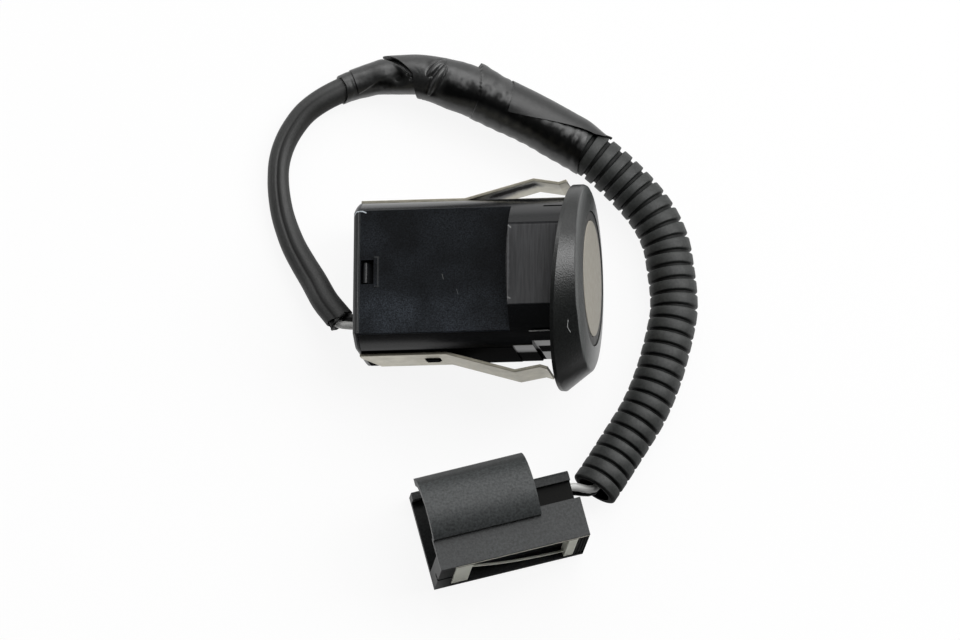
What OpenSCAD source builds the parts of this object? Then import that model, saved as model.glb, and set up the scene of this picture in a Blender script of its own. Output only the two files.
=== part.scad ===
/* [Transducer] */
// Radius of the transducer cup, whose closed end is the sensing face
cup_r = 7.75; // [6.5:0.05:9]
// Length of the transducer cup
cup_l = 9; // [7.5:0.1:10]
// Side wall of the transducer cup
cup_wall = 1.1; // [0.8:0.05:1.6]
// Thickness of the vibrating face of the cup
membrane_t = 0.9; // [0.5:0.05:1.4]
// Radial thickness of the soft ring around the cup
ring_t = 1.2; // [0.8:0.05:1.6]
// Radius of the piezo disc
piezo_r = 4.4; // [3.5:0.1:5.5]
// Thickness of the piezo disc
piezo_t = 0.8; // [0.4:0.05:1.2]
// Thickness of the damping pad behind the piezo disc
pad_t = 2.6; // [1.5:0.1:3.2]
// Thickness of the base that closes the cup
base_t = 1.5; // [1:0.1:2.2]
// Radius of each transducer lead
tlead_r = 0.25; // [0.2:0.01:0.4]

/* [Housing] */
// Wall of the round barrel around the soft ring
shell_t = 2; // [1.6:0.05:2.8]
// Half the thickness of the housing over its two flats
flat_h = 7; // [6.5:0.1:8.5]
// Length of the flat rear block, without its cap
block_l = 20.5; // [18:0.1:24]
// Length of the round barrel between the block and the bezel
barrel_l = 6.7; // [6:0.1:9]
// Depth of the barrel's right flat below the block's
barrel_step = 0.15; // [0.05:0.05:0.3]
// Further depth of the right flat next to the bezel
front_step = 0.4; // [0.2:0.05:0.5]
// Length of that deeper flat behind the seat
front_flat_l = 4; // [3:0.1:5]
// Wall of the rear cavity
wall = 1.2; // [0.9:0.05:1.6]
// Depth of the flat that each spring clip lies on
clip_recess = 0.8; // [0.5:0.05:1.1]
// Stand of the left side of the block beyond the right one
left_land = 0.25; // [0:0.05:0.4]
// Depth of the keying facet at its middle
key_depth = 1.4; // [0.6:0.05:1.5]
// Turn of the keying facet away from the upper flat, in degrees
key_turn = 0.7; // [0:0.1:15]
// Width of the slits that free the snap fingers
slit_w = 0.35; // [0.2:0.05:0.6]
// Visible length of the slits behind the bezel
slit_l = 3.2; // [2:0.1:4]
// Thickness of the web behind the soft ring
web_t = 1.2; // [0.8:0.1:1.8]

/* [Rear cap] */
// Thickness of the cap plate
cap_t = 0.8; // [0.6:0.05:1.2]
// Bevel around the cap plate
cap_bevel = 0.45; // [0.2:0.05:0.55]
// Depth of the cap's spigot in the housing
spigot_l = 3.4; // [2.8:0.1:4.5]
// Wall of the spigot
spigot_t = 1; // [0.8:0.05:1.4]
// Width of each snap window
window_w = 3.3; // [2.4:0.1:4.5]
// Length of each snap window along the housing
window_l = 1.75; // [1.4:0.05:2.2]
// Rear edge of the housing to the snap window
window_x = 0.3; // [0.25:0.05:0.8]
// Width of the raised lip in front of each snap window
window_lip = 0.55; // [0.3:0.05:0.8]
// Distance of the lead exit to the side of the axis
exit_y = 5; // [4:0.1:5.4]
// Radius of the grommet in the cap
grommet_r = 1.9; // [1.6:0.05:2.1]

/* [Bezel] */
// Overhang of the bezel's rear rim past the barrel
rim_over = 2.85; // [2:0.05:4]
// Overhang of the bezel's front edge past the barrel
face_over = 1.65; // [1:0.05:2.6]
// Shift of the rear rim's centre to the side
rim_shift = 1.2; // [0:0.05:1.6]
// Skew of the rear rim's plane, in degrees
rim_skew = 5; // [0:0.1:7]
// Height of the front face above the seat at the axis
bezel_h = 3.3; // [2.8:0.05:4.5]
// Fall of the front face from the soft ring to its edge
face_fall = 0.4; // [0.1:0.05:0.8]
// Straight edge of the rear rim
rim_edge = 0.5; // [0.3:0.05:0.8]
// Rounding of the front edge
face_round = 0.5; // [0.2:0.05:0.8]
// Depth of the front wall that the barrel stops against
front_wall = 1.7; // [1.3:0.05:2]
// Height of the snap bead on the barrel
bead_h = 0.3; // [0.2:0.05:0.5]

/* [Spring clips] */
// Width of the spring strip
clip_w = 6; // [4.5:0.1:7]
// Thickness of the spring strip
clip_t = 0.4; // [0.3:0.05:0.6]
// Length of the right strip that lies flat on the housing
clip_flat = 11.7; // [10:0.1:14]
// Rise of the strip's knee above the flat part
knee_rise = 2.7; // [1.5:0.1:3.2]
// Distance of the knee behind the bezel's rim plane
knee_back = 5.6; // [4.5:0.1:6.5]
// Distance of the dip behind the bezel's rim plane
dip_back = 2.2; // [1.8:0.1:2.8]
// Fall from the knee to the dip
dip_fall = 0.6; // [0.2:0.05:1]
// Length of the upturned lip
lip_l = 1.1; // [0.5:0.05:1.4]
// Rise of the upturned lip
lip_rise = 0.35; // [0.1:0.05:0.6]
// Length of the hole that the barb holds
hole_l = 2.1; // [1.6:0.1:2.8]
// Width of the hole that the barb holds
hole_w = 1.9; // [1.4:0.1:2.6]
// Start of the right clip to the middle of its hole
hole_x = 9.5; // [6:0.1:10]
// Length of the slanted cut across the rear end
clip_cut = 2; // [1:0.1:3]

/* [Circuit] */
// Thickness of the circuit board
board_t = 1; // [0.6:0.1:1.6]
// Height of the matching coil
coil_h = 4.8; // [3.5:0.1:5.4]
// Radius of the coil's flanges
coil_r = 3; // [2.4:0.1:3.4]
// Radius of the coil's core
coil_core_r = 1.5; // [1:0.1:1.9]
// Thickness of the coil's flanges
coil_flange = 0.8; // [0.5:0.05:1.1]
// Length of the capacitor
capacitor_l = 5; // [4:0.1:5.6]
// Width of the capacitor
capacitor_w = 2.6; // [2:0.1:3]
// Height of the capacitor
capacitor_h = 4; // [3:0.1:4.6]
// Thickness of the sealing compound behind the board
seal_t = 2.4; // [1.5:0.1:3]

/* [Lead] */
// Diameter of each wire
wire_d = 1.1; // [0.9:0.05:1.3]
// Half the spacing of the two wires
pair_half = 0.64; // [0.6:0.01:0.68]
// Wall of the sleeve
sleeve_t = 0.25; // [0.15:0.05:0.4]
// Slack of the sleeve beside the wires at its ends
sleeve_slack = 0.5; // [0.2:0.02:0.5]
// Thickness of the tape layers
tape_t = 0.25; // [0.15:0.05:0.4]
// Outer diameter of the corrugated conduit
conduit_d = 6.4; // [6:0.1:6.5]
// Bore of the corrugated conduit
conduit_bore = 4.6; // [4:0.1:4.8]
// Pitch of the conduit's ribs
rib_pitch = 1.68; // [1.4:0.02:2]
// Depth of the grooves between the ribs
rib_depth = 0.5; // [0.3:0.05:0.6]

/* [Connector] */
// Length of the connector
conn_l = 20.6; // [19.5:0.1:24]
// Width of the connector's lower shell
conn_w = 13; // [12.4:0.1:15]
// Height of the connector's flat top
conn_h = 11.6; // [11:0.1:13]
// Wall of the connector
conn_wall = 1; // [0.8:0.05:1.2]
// Length of the arched latch bridge
bridge_l = 14.9; // [13:0.1:16]
// Radius of the arched latch bridge
bridge_r = 6; // [5.7:0.05:6.4]
// Depth of the mouth
mouth_l = 9.5; // [8:0.1:10.5]
// Height of the low side wall
low_wall_h = 3; // [2.4:0.1:4]
// Spacing of the two contacts
contact_pitch = 2.6; // [2.4:0.05:3]
// Side of each contact's body
contact_s = 1.8; // [1.4:0.05:1.9]
// Side of each contact's tab
tab_s = 0.64; // [0.5:0.02:0.9]
// Width of the retainer's strap
strap_l = 2.3; // [1.6:0.1:3]
// Width of the retainer's post
post_l = 1.3; // [0.9:0.1:1.8]
// Thickness of the retainer's curved beam
beam_t = 0.35; // [0.25:0.05:0.6]
// Outer edge of the rear rail
rail_out = 10.15; // [10:0.05:11]
// Width of the rear rail
rail_w = 1.35; // [1:0.05:1.8]
// Height of the rear rail
rail_h = 7; // [6.6:0.1:8]
// Height of the valley beside the rear rail
valley_h = 6.1; // [6:0.1:6.4]

/* [Fit] */
// Clearance between fitted pieces
fit = 0.1; // [0.05:0.01:0.2]

/* [Hidden] */
$fn = 72;
EPS = 0.02;
OVER = 1;
lip_h = 0.12;
lip_over = 0.4;
board_rail = 1.1;
bead_back = 0.6;
bead_w = 0.5;
part_gap = 2.2;

// Radii that grow outwards from the transducer
ring_r = cup_r + ring_t;
barrel_r = ring_r + shell_t;
side_flat = barrel_r - clip_recess;
left_flat = side_flat + left_land;
barrel_flat = side_flat - barrel_step;
front_flat = barrel_flat - front_step;
cavity_r = side_flat - wall;
cavity_h = flat_h - wall;
rim_r = barrel_r + rim_over;
face_r = barrel_r + face_over;

// Stations along the sensor's axis, from the seat behind the bezel
face_x = bezel_h;
barrel_front = bezel_h - front_wall;
block_front = -barrel_l;
rear_x = block_front - block_l;
cap_rear = rear_x - cap_t;
cup_rear = face_x - cup_l;
ring_lip = 0.8;
ring_rear = cup_rear - ring_lip;
web_rear = ring_rear - web_t;
piezo_front = face_x - membrane_t;
pad_front = piezo_front - piezo_t;
seal_rear = rear_x + spigot_l;
board_rear = seal_rear + seal_t;
board_front = web_rear - fit;

// Heights of the circuit board in the cavity, with the wires lying on it
board_top = -wire_d / 2 - EPS;
board_low = board_top - board_t;
board_half = sqrt(pow(cavity_r, 2) - pow(board_low, 2)) - fit;
tlead_y = cup_r / 4;
tlead_z = board_top + tlead_r + EPS;

// Rest pose: the bezel's rim and the rear cap's lower edge lie on the table
tilt = atan((rim_r - flat_h) / (-rear_x + cap_t - cap_bevel));
rim_reach = rim_r * cos(rim_skew);
clip_out = side_flat + clip_t + knee_rise;
clip_rear = rear_x - cap_t / 2;
front_edge = face_x - face_fall;
front_reach = max((front_edge - face_round) * cos(tilt) + face_r * sin(tilt),
    front_edge * cos(tilt) + (face_r - face_round) * sin(tilt),
    face_x * cos(tilt) + (ring_r + 2 * fit) * sin(tilt));
rear_reach = max((cap_bevel - cap_t + rear_x) * -cos(tilt) + flat_h * sin(tilt),
    -cap_rear * cos(tilt) + (flat_h - cap_bevel) * sin(tilt));
seat_x = (rear_reach - front_reach) / 2;
seat_y = (rim_reach + rim_shift - max(rim_reach - rim_shift, clip_out)) / 2;
seat_z = rim_r * cos(tilt);

// Place of the connector on the table
conn_at = [-4.9, -39.1, 0];
conn_yaw = 15.6;
south_t = 2.3 * conn_wall;
slot_low = 1.2 * conn_wall;
slot_h = conn_h - 2.2 * conn_wall;
way_wall = 0.8;
bridge_foot = 4.1;
bridge_rise = 2;
bridge_mid = [7.7, conn_h + bridge_rise - bridge_r];
bridge_tip = 8.8;
block_top = 8.4;
contact_w = 8.2;
contact_z = 3.4;
contact_deep = 3.2;
contact_rear = conn_l - contact_deep;
top_edge = 5.3;
recess_d = 1.4 * conn_wall;
strap_k = 2.2;
post_back = 1.5;
post_k = conn_l - post_back - post_l;

// Way of the lead on the table, from the sleeve's end to the conduit's mouth
LEAD = [[-18.1, -3.8, 5.1], [-19, -2.6, 4.6], [-20.35, -0.68, 3.9], [-21.75, 2.12, 3],
    [-23.15, 4.62, 2.4], [-24.35, 6.92, 2], [-25.25, 9.22, 1.7], [-25.95, 11.52, 1.5],
    [-26.4, 13.9, 1.5], [-26.6, 16.2, 1.5], [-26.5, 18.6, 1.5], [-25.9, 21, 1.5],
    [-24.8, 23.3, 1.6], [-23.1, 25.6, 1.8], [-20.8, 27.4, 2.1], [-18, 28.9, 2.3],
    [-15.4, 29.9, 2.4], [-12.9, 30.6, 2.7], [-10.4, 30.8, 3], [-7.8, 30.7, 3.4], [-5.1, 30.1, 3.7],
    [-2.4, 29.3, 3.8], [0.3, 28.4, 3.8], [2.9, 27.2, 3.8], [5.7, 25.9, 3.8], [8.5, 24.5, 3.8],
    [11.2, 23, 3.8], [14, 21.45, 3.8], [16.5, 19.75, 3.7], [18.8, 17.85, 3.5], [20.9, 15.85, 3.3],
    [22.9, 13.55, 3.3], [24.5, 11.05, 3.3], [25.6, 8.25, 3.3], [26.12, 5.2, 3.3],
    [26.52, 2.3, 3.3], [26.62, -0.7, 3.3], [26.15, -3.6, 3.3], [25.5, -6.5, 3.3],
    [24.72, -9.35, 3.3], [23.7, -12.22, 3.3], [22.5, -14.92, 3.3], [21, -17.52, 3.3],
    [19.45, -20.1, 3.3], [17.8, -22.85, 3.5], [16.05, -25.6, 3.7]];
SLEEVE_END = 18;
SMALL_TAPE = [14.6, 19.2];
LARGE_TAPE = [18.2, 27.4];
CONDUIT_START = 20.4;
QUARTER_TURN = [26, 40];

// Point of the sensor's frame set in the lying frame
function lying(p) = [seat_x + p[0] * cos(tilt) - p[2] * sin(tilt), seat_y + p[1],
    seat_z + p[0] * sin(tilt) + p[2] * cos(tilt)];
// Point of the connector's frame set in the lying frame
function plugged(p) = [conn_at[0] + p[0] * cos(conn_yaw) - p[1] * sin(conn_yaw),
    conn_at[1] + p[0] * sin(conn_yaw) + p[1] * cos(conn_yaw), conn_at[2] + p[2]];

function unit(v) = v / norm(v);
function curve(a, b, c, d, t) = 0.5 * (2 * b + (c - a) * t + (2 * a - 5 * b + 4 * c - d) * t * t
    + (3 * b - a - 3 * c + d) * t * t * t);
// Point at place u of a route, where whole numbers are its own points
function on(route, u) = let(n = len(route) - 1, i = min(max(floor(u), 0), n - 1), t = u - i)
    curve(route[max(i - 1, 0)], route[i], route[i + 1], route[min(i + 2, n)], t);
function heading(route, u) = unit(on(route, min(u + 0.05, len(route) - 1)) - on(route, max(u - 0.05, 0)));
// Length of a route, point to point
function along(route, i = 0) = i > len(route) - 2 ? 0 : norm(route[i + 1] - route[i]) + along(route, i + 1);
// One ring of a tube, as an ellipse of half-width a and half-height b across the route
function ring_at(mid, dir, a, b, sides) = let(s = unit(cross([0, 0, 1], dir)), v = cross(dir, s))
    [for (k = [0:sides - 1]) mid + a * cos(360 * k / sides) * s + b * sin(360 * k / sides) * v];
function quads(i, j, n) = [for (k = [0:n - 1]) let(m = (k + 1) % n)
    each [[i * n + k, j * n + k, j * n + m], [i * n + k, j * n + m, i * n + m]]];

// Solid tube through a list of rings
module solid_tube(rings) {
    n = len(rings[0]);
    last = len(rings) - 1;
    polyhedron([for (r = rings) each r], concat([[for (k = [0:n - 1]) k]],
        [for (i = [0:last - 1]) each quads(i, i + 1, n)], [[for (k = [n - 1:-1:0]) last * n + k]]));
}

// Hollow tube, where the list of rings goes out along the outside and back along the inside
module hollow_tube(rings) {
    n = len(rings[0]);
    count = len(rings);
    polyhedron([for (r = rings) each r], [for (i = [0:count - 1]) each quads(i, (i + 1) % count, n)]);
}

// Cover along the lead from place u0 to u1, outer half-sizes from a function of u, and a wall
module cover(u0, u1, steps, outer, wall_t, sides) {
    places = [for (i = [0:steps]) u0 + (u1 - u0) * i / steps];
    back = [for (i = [steps:-1:0]) places[i]];
    hollow_tube(concat(
        [for (u = places) let(s = outer(u)) ring_at(on(LEAD, u), heading(LEAD, u), s[0], s[1], sides)],
        [for (u = back) let(s = outer(u))
            ring_at(on(LEAD, u), heading(LEAD, u), s[0] - wall_t, s[1] - wall_t, sides)]));
}

module in_sensor() {
    translate([seat_x, seat_y, seat_z]) rotate([0, -tilt, 0]) children();
}

module in_connector() {
    translate(conn_at) rotate(conn_yaw) children();
}

// Prism along the axis from x0 to x1, its outline drawn as y and z
module prism(x0, x1) {
    translate([x0, 0, 0]) rotate([90, 0, 90]) linear_extrude(x1 - x0) children();
}

// Cylinder along the axis from x0 to x1
module rod(x0, x1, r) {
    translate([x0, 0, 0]) rotate([0, 90, 0]) cylinder(h = x1 - x0, r = r);
}

// Round outline with two flats of half-height h, a right flat at s and a left one at l
module outline(r, h, s, l) {
    intersection() {
        circle(r);
        translate([-s, -h]) square([s + l, h + h]);
    }
}

// Holes for the two wires that leave at the rear
module wire_holes(x0, x1) {
    for (side = [-1, 1]) translate([0, side * pair_half - exit_y, 0]) rod(x0, x1, wire_d / 2 + fit / 2);
}

module snap_windows() {
    for (side = [-1, 1])
        translate([rear_x + window_x + window_l / 2, 0, side * (flat_h - wall / 2)])
            cube([window_l, window_w, wall + OVER], center = true);
}

// Raised lips in front of the snap windows
module window_lips() {
    for (side = [-1, 1])
        translate([rear_x + window_x + window_l + window_lip / 2, 0, side * flat_h])
            cube([window_lip, window_w + 2 * lip_over, 2 * lip_h], center = true);
}

// Barbs that hold the clips, one on each side, moved by the clip's own shift
module clip_barbs() {
    barb_l = hole_l - 4 * fit;
    barb_w = hole_w - 4 * fit;
    for (side = [-1, 1])
        translate([clip_rear + clip_shift(side) + hole_x, side * clip_flat_y(side), 0])
            rotate([90, 0, side * 90 + 90]) translate([0, 0, -EPS]) linear_extrude(1.5 * clip_t)
                square([barb_l, barb_w], center = true);
}

module board_rails() {
    rail = board_rail;
    intersection() {
        prism(seal_rear, web_rear + EPS) outline(cavity_r + EPS, cavity_h, cavity_r, cavity_r);
        for (side = [-1, 1])
            translate([seal_rear, side * (board_half - rail / 2) - rail, board_low - rail])
                cube([web_rear - seal_rear + EPS, 2 * rail, rail]);
    }
}

module housing() {
    slit_turn = acos(flat_h / barrel_r);
    color([0.11, 0.12, 0.13]) in_sensor() {
        difference() {
            union() {
                prism(rear_x, block_front) outline(barrel_r, flat_h, side_flat, left_flat);
                prism(block_front - EPS, -front_flat_l) outline(barrel_r, barrel_r, barrel_flat, barrel_r);
                prism(-front_flat_l - EPS, barrel_front) outline(barrel_r, barrel_r, front_flat, barrel_r);
                prism(barrel_front - bead_back - bead_w, barrel_front - bead_back)
                    outline(barrel_r + bead_h, barrel_r, front_flat, barrel_r);
            }
            prism(rear_x - OVER, web_rear) outline(cavity_r, cavity_h, cavity_r, cavity_r);
            rod(ring_rear, barrel_front + OVER, ring_r + fit);
            rod(web_rear - OVER, ring_rear + OVER, cup_r - cup_wall);
            rotate([key_turn, 0, 0]) translate([block_front, -barrel_r, barrel_r - key_depth])
                cube([barrel_l + bezel_h, 2 * barrel_r, barrel_r]);
            for (side = [-1, 1], flip = [0, 180]) let(turn = side * slit_turn + flip,
                start = rim_plane(-barrel_r * sin(turn)) - slit_l)
                rotate([turn, 0, 0]) translate([start, -slit_w / 2, ring_r])
                    cube([barrel_front - start + OVER, slit_w, shell_t + OVER]);
            snap_windows();
        }
        window_lips();
        clip_barbs();
        board_rails();
    }
}

// Snap tab of the cap, a wedge that stands in the housing's window
module snap_tab() {
    sunk = 0.35;
    lead_in = 0.3;
    nose = flat_h - sunk;
    root = cavity_h - fit - spigot_t / 2;
    x0 = rear_x + window_x + fit;
    x1 = x0 + window_l - 4 * fit;
    translate([0, window_w / 2 - 2 * fit, 0]) rotate([90, 0, 0]) linear_extrude(window_w - 4 * fit)
        polygon([[x0, root], [x0, nose - lead_in], [x0 + lead_in, nose], [x0 + 2 * lead_in, nose],
            [x1, cavity_h - fit], [x1, root]]);
}

module rear_cap() {
    color([0.14, 0.15, 0.16]) in_sensor() difference() {
        union() {
            hull() {
                prism(rear_x - cap_t + cap_bevel, rear_x) outline(barrel_r, flat_h, side_flat, left_flat);
                prism(cap_rear, rear_x)
                    outline(barrel_r - cap_bevel, flat_h - cap_bevel, side_flat - cap_bevel,
                        left_flat - cap_bevel);
            }
            prism(rear_x - EPS, rear_x + spigot_l - fit) difference() {
                outline(cavity_r - fit, cavity_h - fit, cavity_r, cavity_r);
                outline(cavity_r - fit - spigot_t, cavity_h - fit - spigot_t, cavity_r, cavity_r);
            }
            snap_tab();
            mirror([0, 0, 1]) snap_tab();
        }
        translate([0, -exit_y, 0]) rod(cap_rear - OVER, rear_x + OVER, grommet_r + fit / 2);
    }
}

module lead_grommet() {
    flange_over = 0.35;
    flange_t = 1;
    color([0.1, 0.1, 0.1]) in_sensor() difference() {
        translate([0, -exit_y, 0]) {
            rod(cap_rear, rear_x + spigot_l - fit, grommet_r);
            rod(rear_x + EPS, rear_x + flange_t, grommet_r + flange_over);
        }
        wire_holes(cap_rear - OVER, seal_rear + OVER);
    }
}

// Rear rim of the bezel, in its skewed plane
module rim_disc() {
    translate([0, -rim_shift, 0]) rotate([0, 0, -rim_skew]) rod(0, rim_edge, rim_r);
}

module bezel_ring() {
    groove = bead_h + fit;
    color([0.16, 0.17, 0.17]) in_sensor() difference() {
        hull() {
            rim_disc();
            rod(front_edge - 2 * face_round, front_edge - face_round, face_r);
            rod(front_edge - 2 * face_round, front_edge - face_round / 3, face_r - face_round / 3);
            rod(front_edge - 2 * face_round, front_edge, face_r - face_round);
            rod(front_edge - 2 * face_round, face_x, ring_r + 2 * fit);
        }
        rod(-rim_r, barrel_front, barrel_r + fit);
        rod(barrel_front - bead_back - bead_w - fit, barrel_front - bead_back + fit, barrel_r + groove);
        rod(-rim_r, face_x + OVER, ring_r + fit);
    }
}

module transducer_cup() {
    color([0.59, 0.57, 0.55]) in_sensor() difference() {
        rod(cup_rear, face_x, cup_r);
        rod(cup_rear - OVER, piezo_front, cup_r - cup_wall);
    }
}

module decoupling_ring() {
    color([0.2, 0.2, 0.21]) in_sensor() difference() {
        rod(ring_rear, face_x - fit, ring_r);
        rod(cup_rear, face_x + OVER, cup_r + EPS);
        rod(ring_rear - OVER, face_x, cup_r - cup_wall);
    }
}

module piezo_disc() {
    color([0.85, 0.82, 0.7]) in_sensor() rod(pad_front, piezo_front, piezo_r);
}

module tlead_holes(x0, x1) {
    for (side = [-1, 1]) translate([0, side * tlead_y, tlead_z]) rod(x0, x1, tlead_r + fit / 2);
}

module damping_pad() {
    color([0.35, 0.35, 0.33]) in_sensor() difference() {
        rod(pad_front - pad_t, pad_front, cup_r - cup_wall - fit);
        tlead_holes(pad_front - pad_t - OVER, pad_front + OVER);
    }
}

module transducer_base() {
    color([0.75, 0.72, 0.62]) in_sensor() difference() {
        rod(cup_rear, cup_rear + base_t, cup_r - cup_wall - fit / 2);
        tlead_holes(cup_rear - OVER, cup_rear + base_t + OVER);
    }
}

module transducer_leads() {
    on_board = 1.6;
    color([0.8, 0.6, 0.3]) in_sensor() for (side = [-1, 1])
        translate([0, side * tlead_y, tlead_z]) rod(board_front - on_board, pad_front, tlead_r);
}

module circuit_board() {
    color([0.1, 0.35, 0.2]) in_sensor()
        translate([board_rear, -board_half, board_low])
            cube([board_front - board_rear, 2 * board_half, board_t]);
}

// Place of the coil on the board
module at_coil() {
    coil_y = 2.6;
    translate([board_front - part_gap - coil_r, coil_y, board_top]) children();
}

module coil_core() {
    color([0.25, 0.24, 0.24]) in_sensor() at_coil() {
        cylinder(h = coil_flange, r = coil_r);
        cylinder(h = coil_h, r = coil_core_r);
        translate([0, 0, coil_h - coil_flange]) cylinder(h = coil_flange, r = coil_r);
    }
}

module coil_winding() {
    sunk = 0.35;
    color([0.72, 0.4, 0.2]) in_sensor() at_coil() translate([0, 0, coil_flange]) difference() {
        cylinder(h = coil_h - 2 * coil_flange, r = coil_r - sunk);
        translate([0, 0, -OVER]) cylinder(h = coil_h, r = coil_core_r + EPS);
    }
}

module capacitor() {
    lead_room = 1;
    color([0.75, 0.3, 0.2]) in_sensor()
        translate([board_front - part_gap - capacitor_l, -tlead_y - capacitor_w - lead_room, board_top])
            cube([capacitor_l, capacitor_w, capacitor_h]);
}

module chip_resistors() {
    chip = [2, 1.25, 0.55];
    edge = 1;
    chip_y = 0.6;
    color([0.2, 0.2, 0.22]) in_sensor() for (row = [0, 1])
        translate([board_rear + edge, row * part_gap + chip_y, board_top]) cube(chip);
}

module sealing_compound() {
    color([0.3, 0.3, 0.28]) in_sensor() difference() {
        prism(seal_rear, board_rear) outline(cavity_r - EPS, cavity_h - EPS, cavity_r, cavity_r);
        wire_holes(seal_rear - OVER, board_rear + OVER);
        rail_room();
    }
}

// Room for the board's rails in the sealing compound
module rail_room() {
    for (side = [-1, 1])
        translate([seal_rear - OVER, side * cavity_r - 2 * board_rail, board_low - board_rail - EPS])
            cube([seal_t + 2 * OVER, 4 * board_rail, board_rail + 2 * EPS]);
}

// Place of the skewed rim's plane along the axis, at y
function rim_plane(y) = (y + rim_shift) * tan(rim_skew);
// Forward shift of a clip's bends, where side is 1 for the left clip and -1 for the right one
function clip_shift(side) = rim_plane(side * clip_out) - rim_plane(-clip_out);
function clip_flat_y(side) = side > 0 ? left_flat : side_flat;
// Outline of a bent strip of thickness t, from its inner line
function strip(line, t) = concat(line, [for (i = [len(line) - 1:-1:0]) line[i] + bend_side(line, i) * t]);
function left(v) = [-v[1], v[0]];
function bend_side(line, i) = let(n = len(line) - 1,
    a = unit(line[min(i + 1, n)] - line[min(i, n - 1)]), b = unit(line[max(i, 1)] - line[max(i - 1, 0)]),
    m = unit(left(a) + left(b))) m / (m * left(a));

module clip(side) {
    x0 = clip_rear;
    shift = clip_shift(side);
    plane = rim_plane(side * clip_out);
    root = clip_flat_y(side) + EPS;
    knee = side_flat + EPS + knee_rise;
    line = [[x0, root], [x0 + shift + clip_flat, root], [plane - knee_back, knee],
        [plane - dip_back, knee - dip_fall], [plane - dip_back + lip_l, knee - dip_fall + lip_rise]];
    low = -clip_w / 2;
    color([0.66, 0.65, 0.62]) in_sensor() scale_side(side) difference() {
        translate([0, 0, -clip_w / 2]) linear_extrude(clip_w) polygon(strip(line, clip_t));
        translate([x0 + shift + hole_x, root, 0]) cube([hole_l, 4 * clip_t, hole_w], center = true);
        translate([0, root + 4 * clip_t, 0]) rotate([90, 0, 0]) linear_extrude(8 * clip_t)
            polygon([[x0 - OVER, clip_w / 3], [x0, clip_w / 3], [x0 + clip_cut, low],
                [x0 + clip_cut, low - OVER], [x0 - OVER, low - OVER]]);
    }
}

// Mirror for the clip of the right side
module scale_side(side) {
    if (side > 0) children();
    else mirror([0, 1, 0]) children();
}

module spring_clip_left() {
    clip(1);
}

module spring_clip_right() {
    clip(-1);
}

// Whole way of one wire, from its end on the board to its contact, with a quarter turn in the conduit
module wire(side) {
    on_board = 2.5;
    before = 0.5;
    start = [for (x = [board_rear + on_board, seal_rear, cap_rear])
        lying([x, -side * pair_half - exit_y, 0])];
    finish = [for (k = [conn_l + before, (conn_l + contact_rear) / 2, contact_rear])
        plugged([k, contact_w, contact_z + side * contact_pitch / 2])];
    run = [for (u = [0:len(LEAD) - 1]) let(d = heading(LEAD, u), s = unit(cross([0, 0, 1], d)),
        turn = 90 * min(1, max(0, (u - QUARTER_TURN[0]) / (QUARTER_TURN[1] - QUARTER_TURN[0]))))
        LEAD[u] + side * pair_half * (cos(turn) * s + sin(turn) * cross(d, s))];
    route = concat(start, run, finish);
    solid_tube([for (i = [0:len(route) - 1])
        ring_at(route[i], heading(route, i), wire_d / 2, wire_d / 2, 8)]);
}

module lead_wire_grey() {
    color([0.75, 0.75, 0.74]) wire(1);
}

module lead_wire_black() {
    color([0.08, 0.08, 0.08]) wire(-1);
}

// Half-sizes of the sleeve, wide at its ends and narrow where it turns
sleeve_low = pair_half + wire_d / 2 + sleeve_t + EPS;
sleeve_size = function(u) [sleeve_low + sleeve_slack * abs(u / SLEEVE_END - 0.5) * 2, sleeve_low];

module lead_sleeve() {
    color([0.1, 0.1, 0.1]) cover(0, SLEEVE_END, SLEEVE_END, sleeve_size, sleeve_t, 10);
}

lap = 0.1;
joint_t = tape_t + lap;
small_tape_half = sleeve_low + sleeve_slack + fit / 2 + joint_t;
small_tape_size = function(u) [small_tape_half, small_tape_half - fit];

module joint_tape() {
    color([0.25, 0.25, 0.25])
        cover(SMALL_TAPE[0], SMALL_TAPE[1], 8, small_tape_size, joint_t, 12);
}

// Half-sizes of the large wrap, drawn in where it starts before the conduit
drawn_w = 0.55;
drawn_h = 0.75;
large_tape_size = function(u) let(full = conduit_d / 2 + tape_t + 2 * lap,
    t = min(1, max(0, (u - LARGE_TAPE[0]) / (CONDUIT_START - LARGE_TAPE[0]))))
    [full - drawn_w * (1 - t), full - drawn_h * (1 - t)];

module harness_tape() {
    color([0.28, 0.28, 0.28])
        cover(LARGE_TAPE[0], LARGE_TAPE[1], 18, large_tape_size, tape_t, 16);
}

module conduit() {
    sides = 16;
    end = len(LEAD) - 1;
    crest = conduit_d / 2;
    root = crest - rib_depth;
    bore = conduit_bore / 2;
    first = floor(CONDUIT_START);
    stride = along(LEAD, first) / (end - first);
    ribs = floor((end - CONDUIT_START) * stride / rib_pitch);
    step = (end - CONDUIT_START) / ribs;
    profile = [[0, root], [0.22, root], [0.38, crest], [0.84, crest]];
    color([0.2, 0.21, 0.21]) hollow_tube(concat(
        [for (i = [0:ribs - 1], p = profile) let(u = CONDUIT_START + (i + p[0]) * step)
            ring_at(on(LEAD, u), heading(LEAD, u), p[1], p[1], sides)],
        [ring_at(on(LEAD, end), heading(LEAD, end), root, root, sides)],
        [for (u = [end:-0.9:CONDUIT_START]) ring_at(on(LEAD, u), heading(LEAD, u), bore, bore, sides)],
        [ring_at(on(LEAD, CONDUIT_START), heading(LEAD, CONDUIT_START), bore, bore, sides)]));
}

// Outline of the shroud with its arched latch bridge, across the connector
module shroud_outline() {
    square([conn_w, low_wall_h]);
    square([bridge_foot, conn_h]);
    intersection() {
        translate(bridge_mid) circle(bridge_r);
        translate([bridge_foot - EPS, bridge_tip]) square([conn_w, conn_h]);
    }
}

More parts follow.
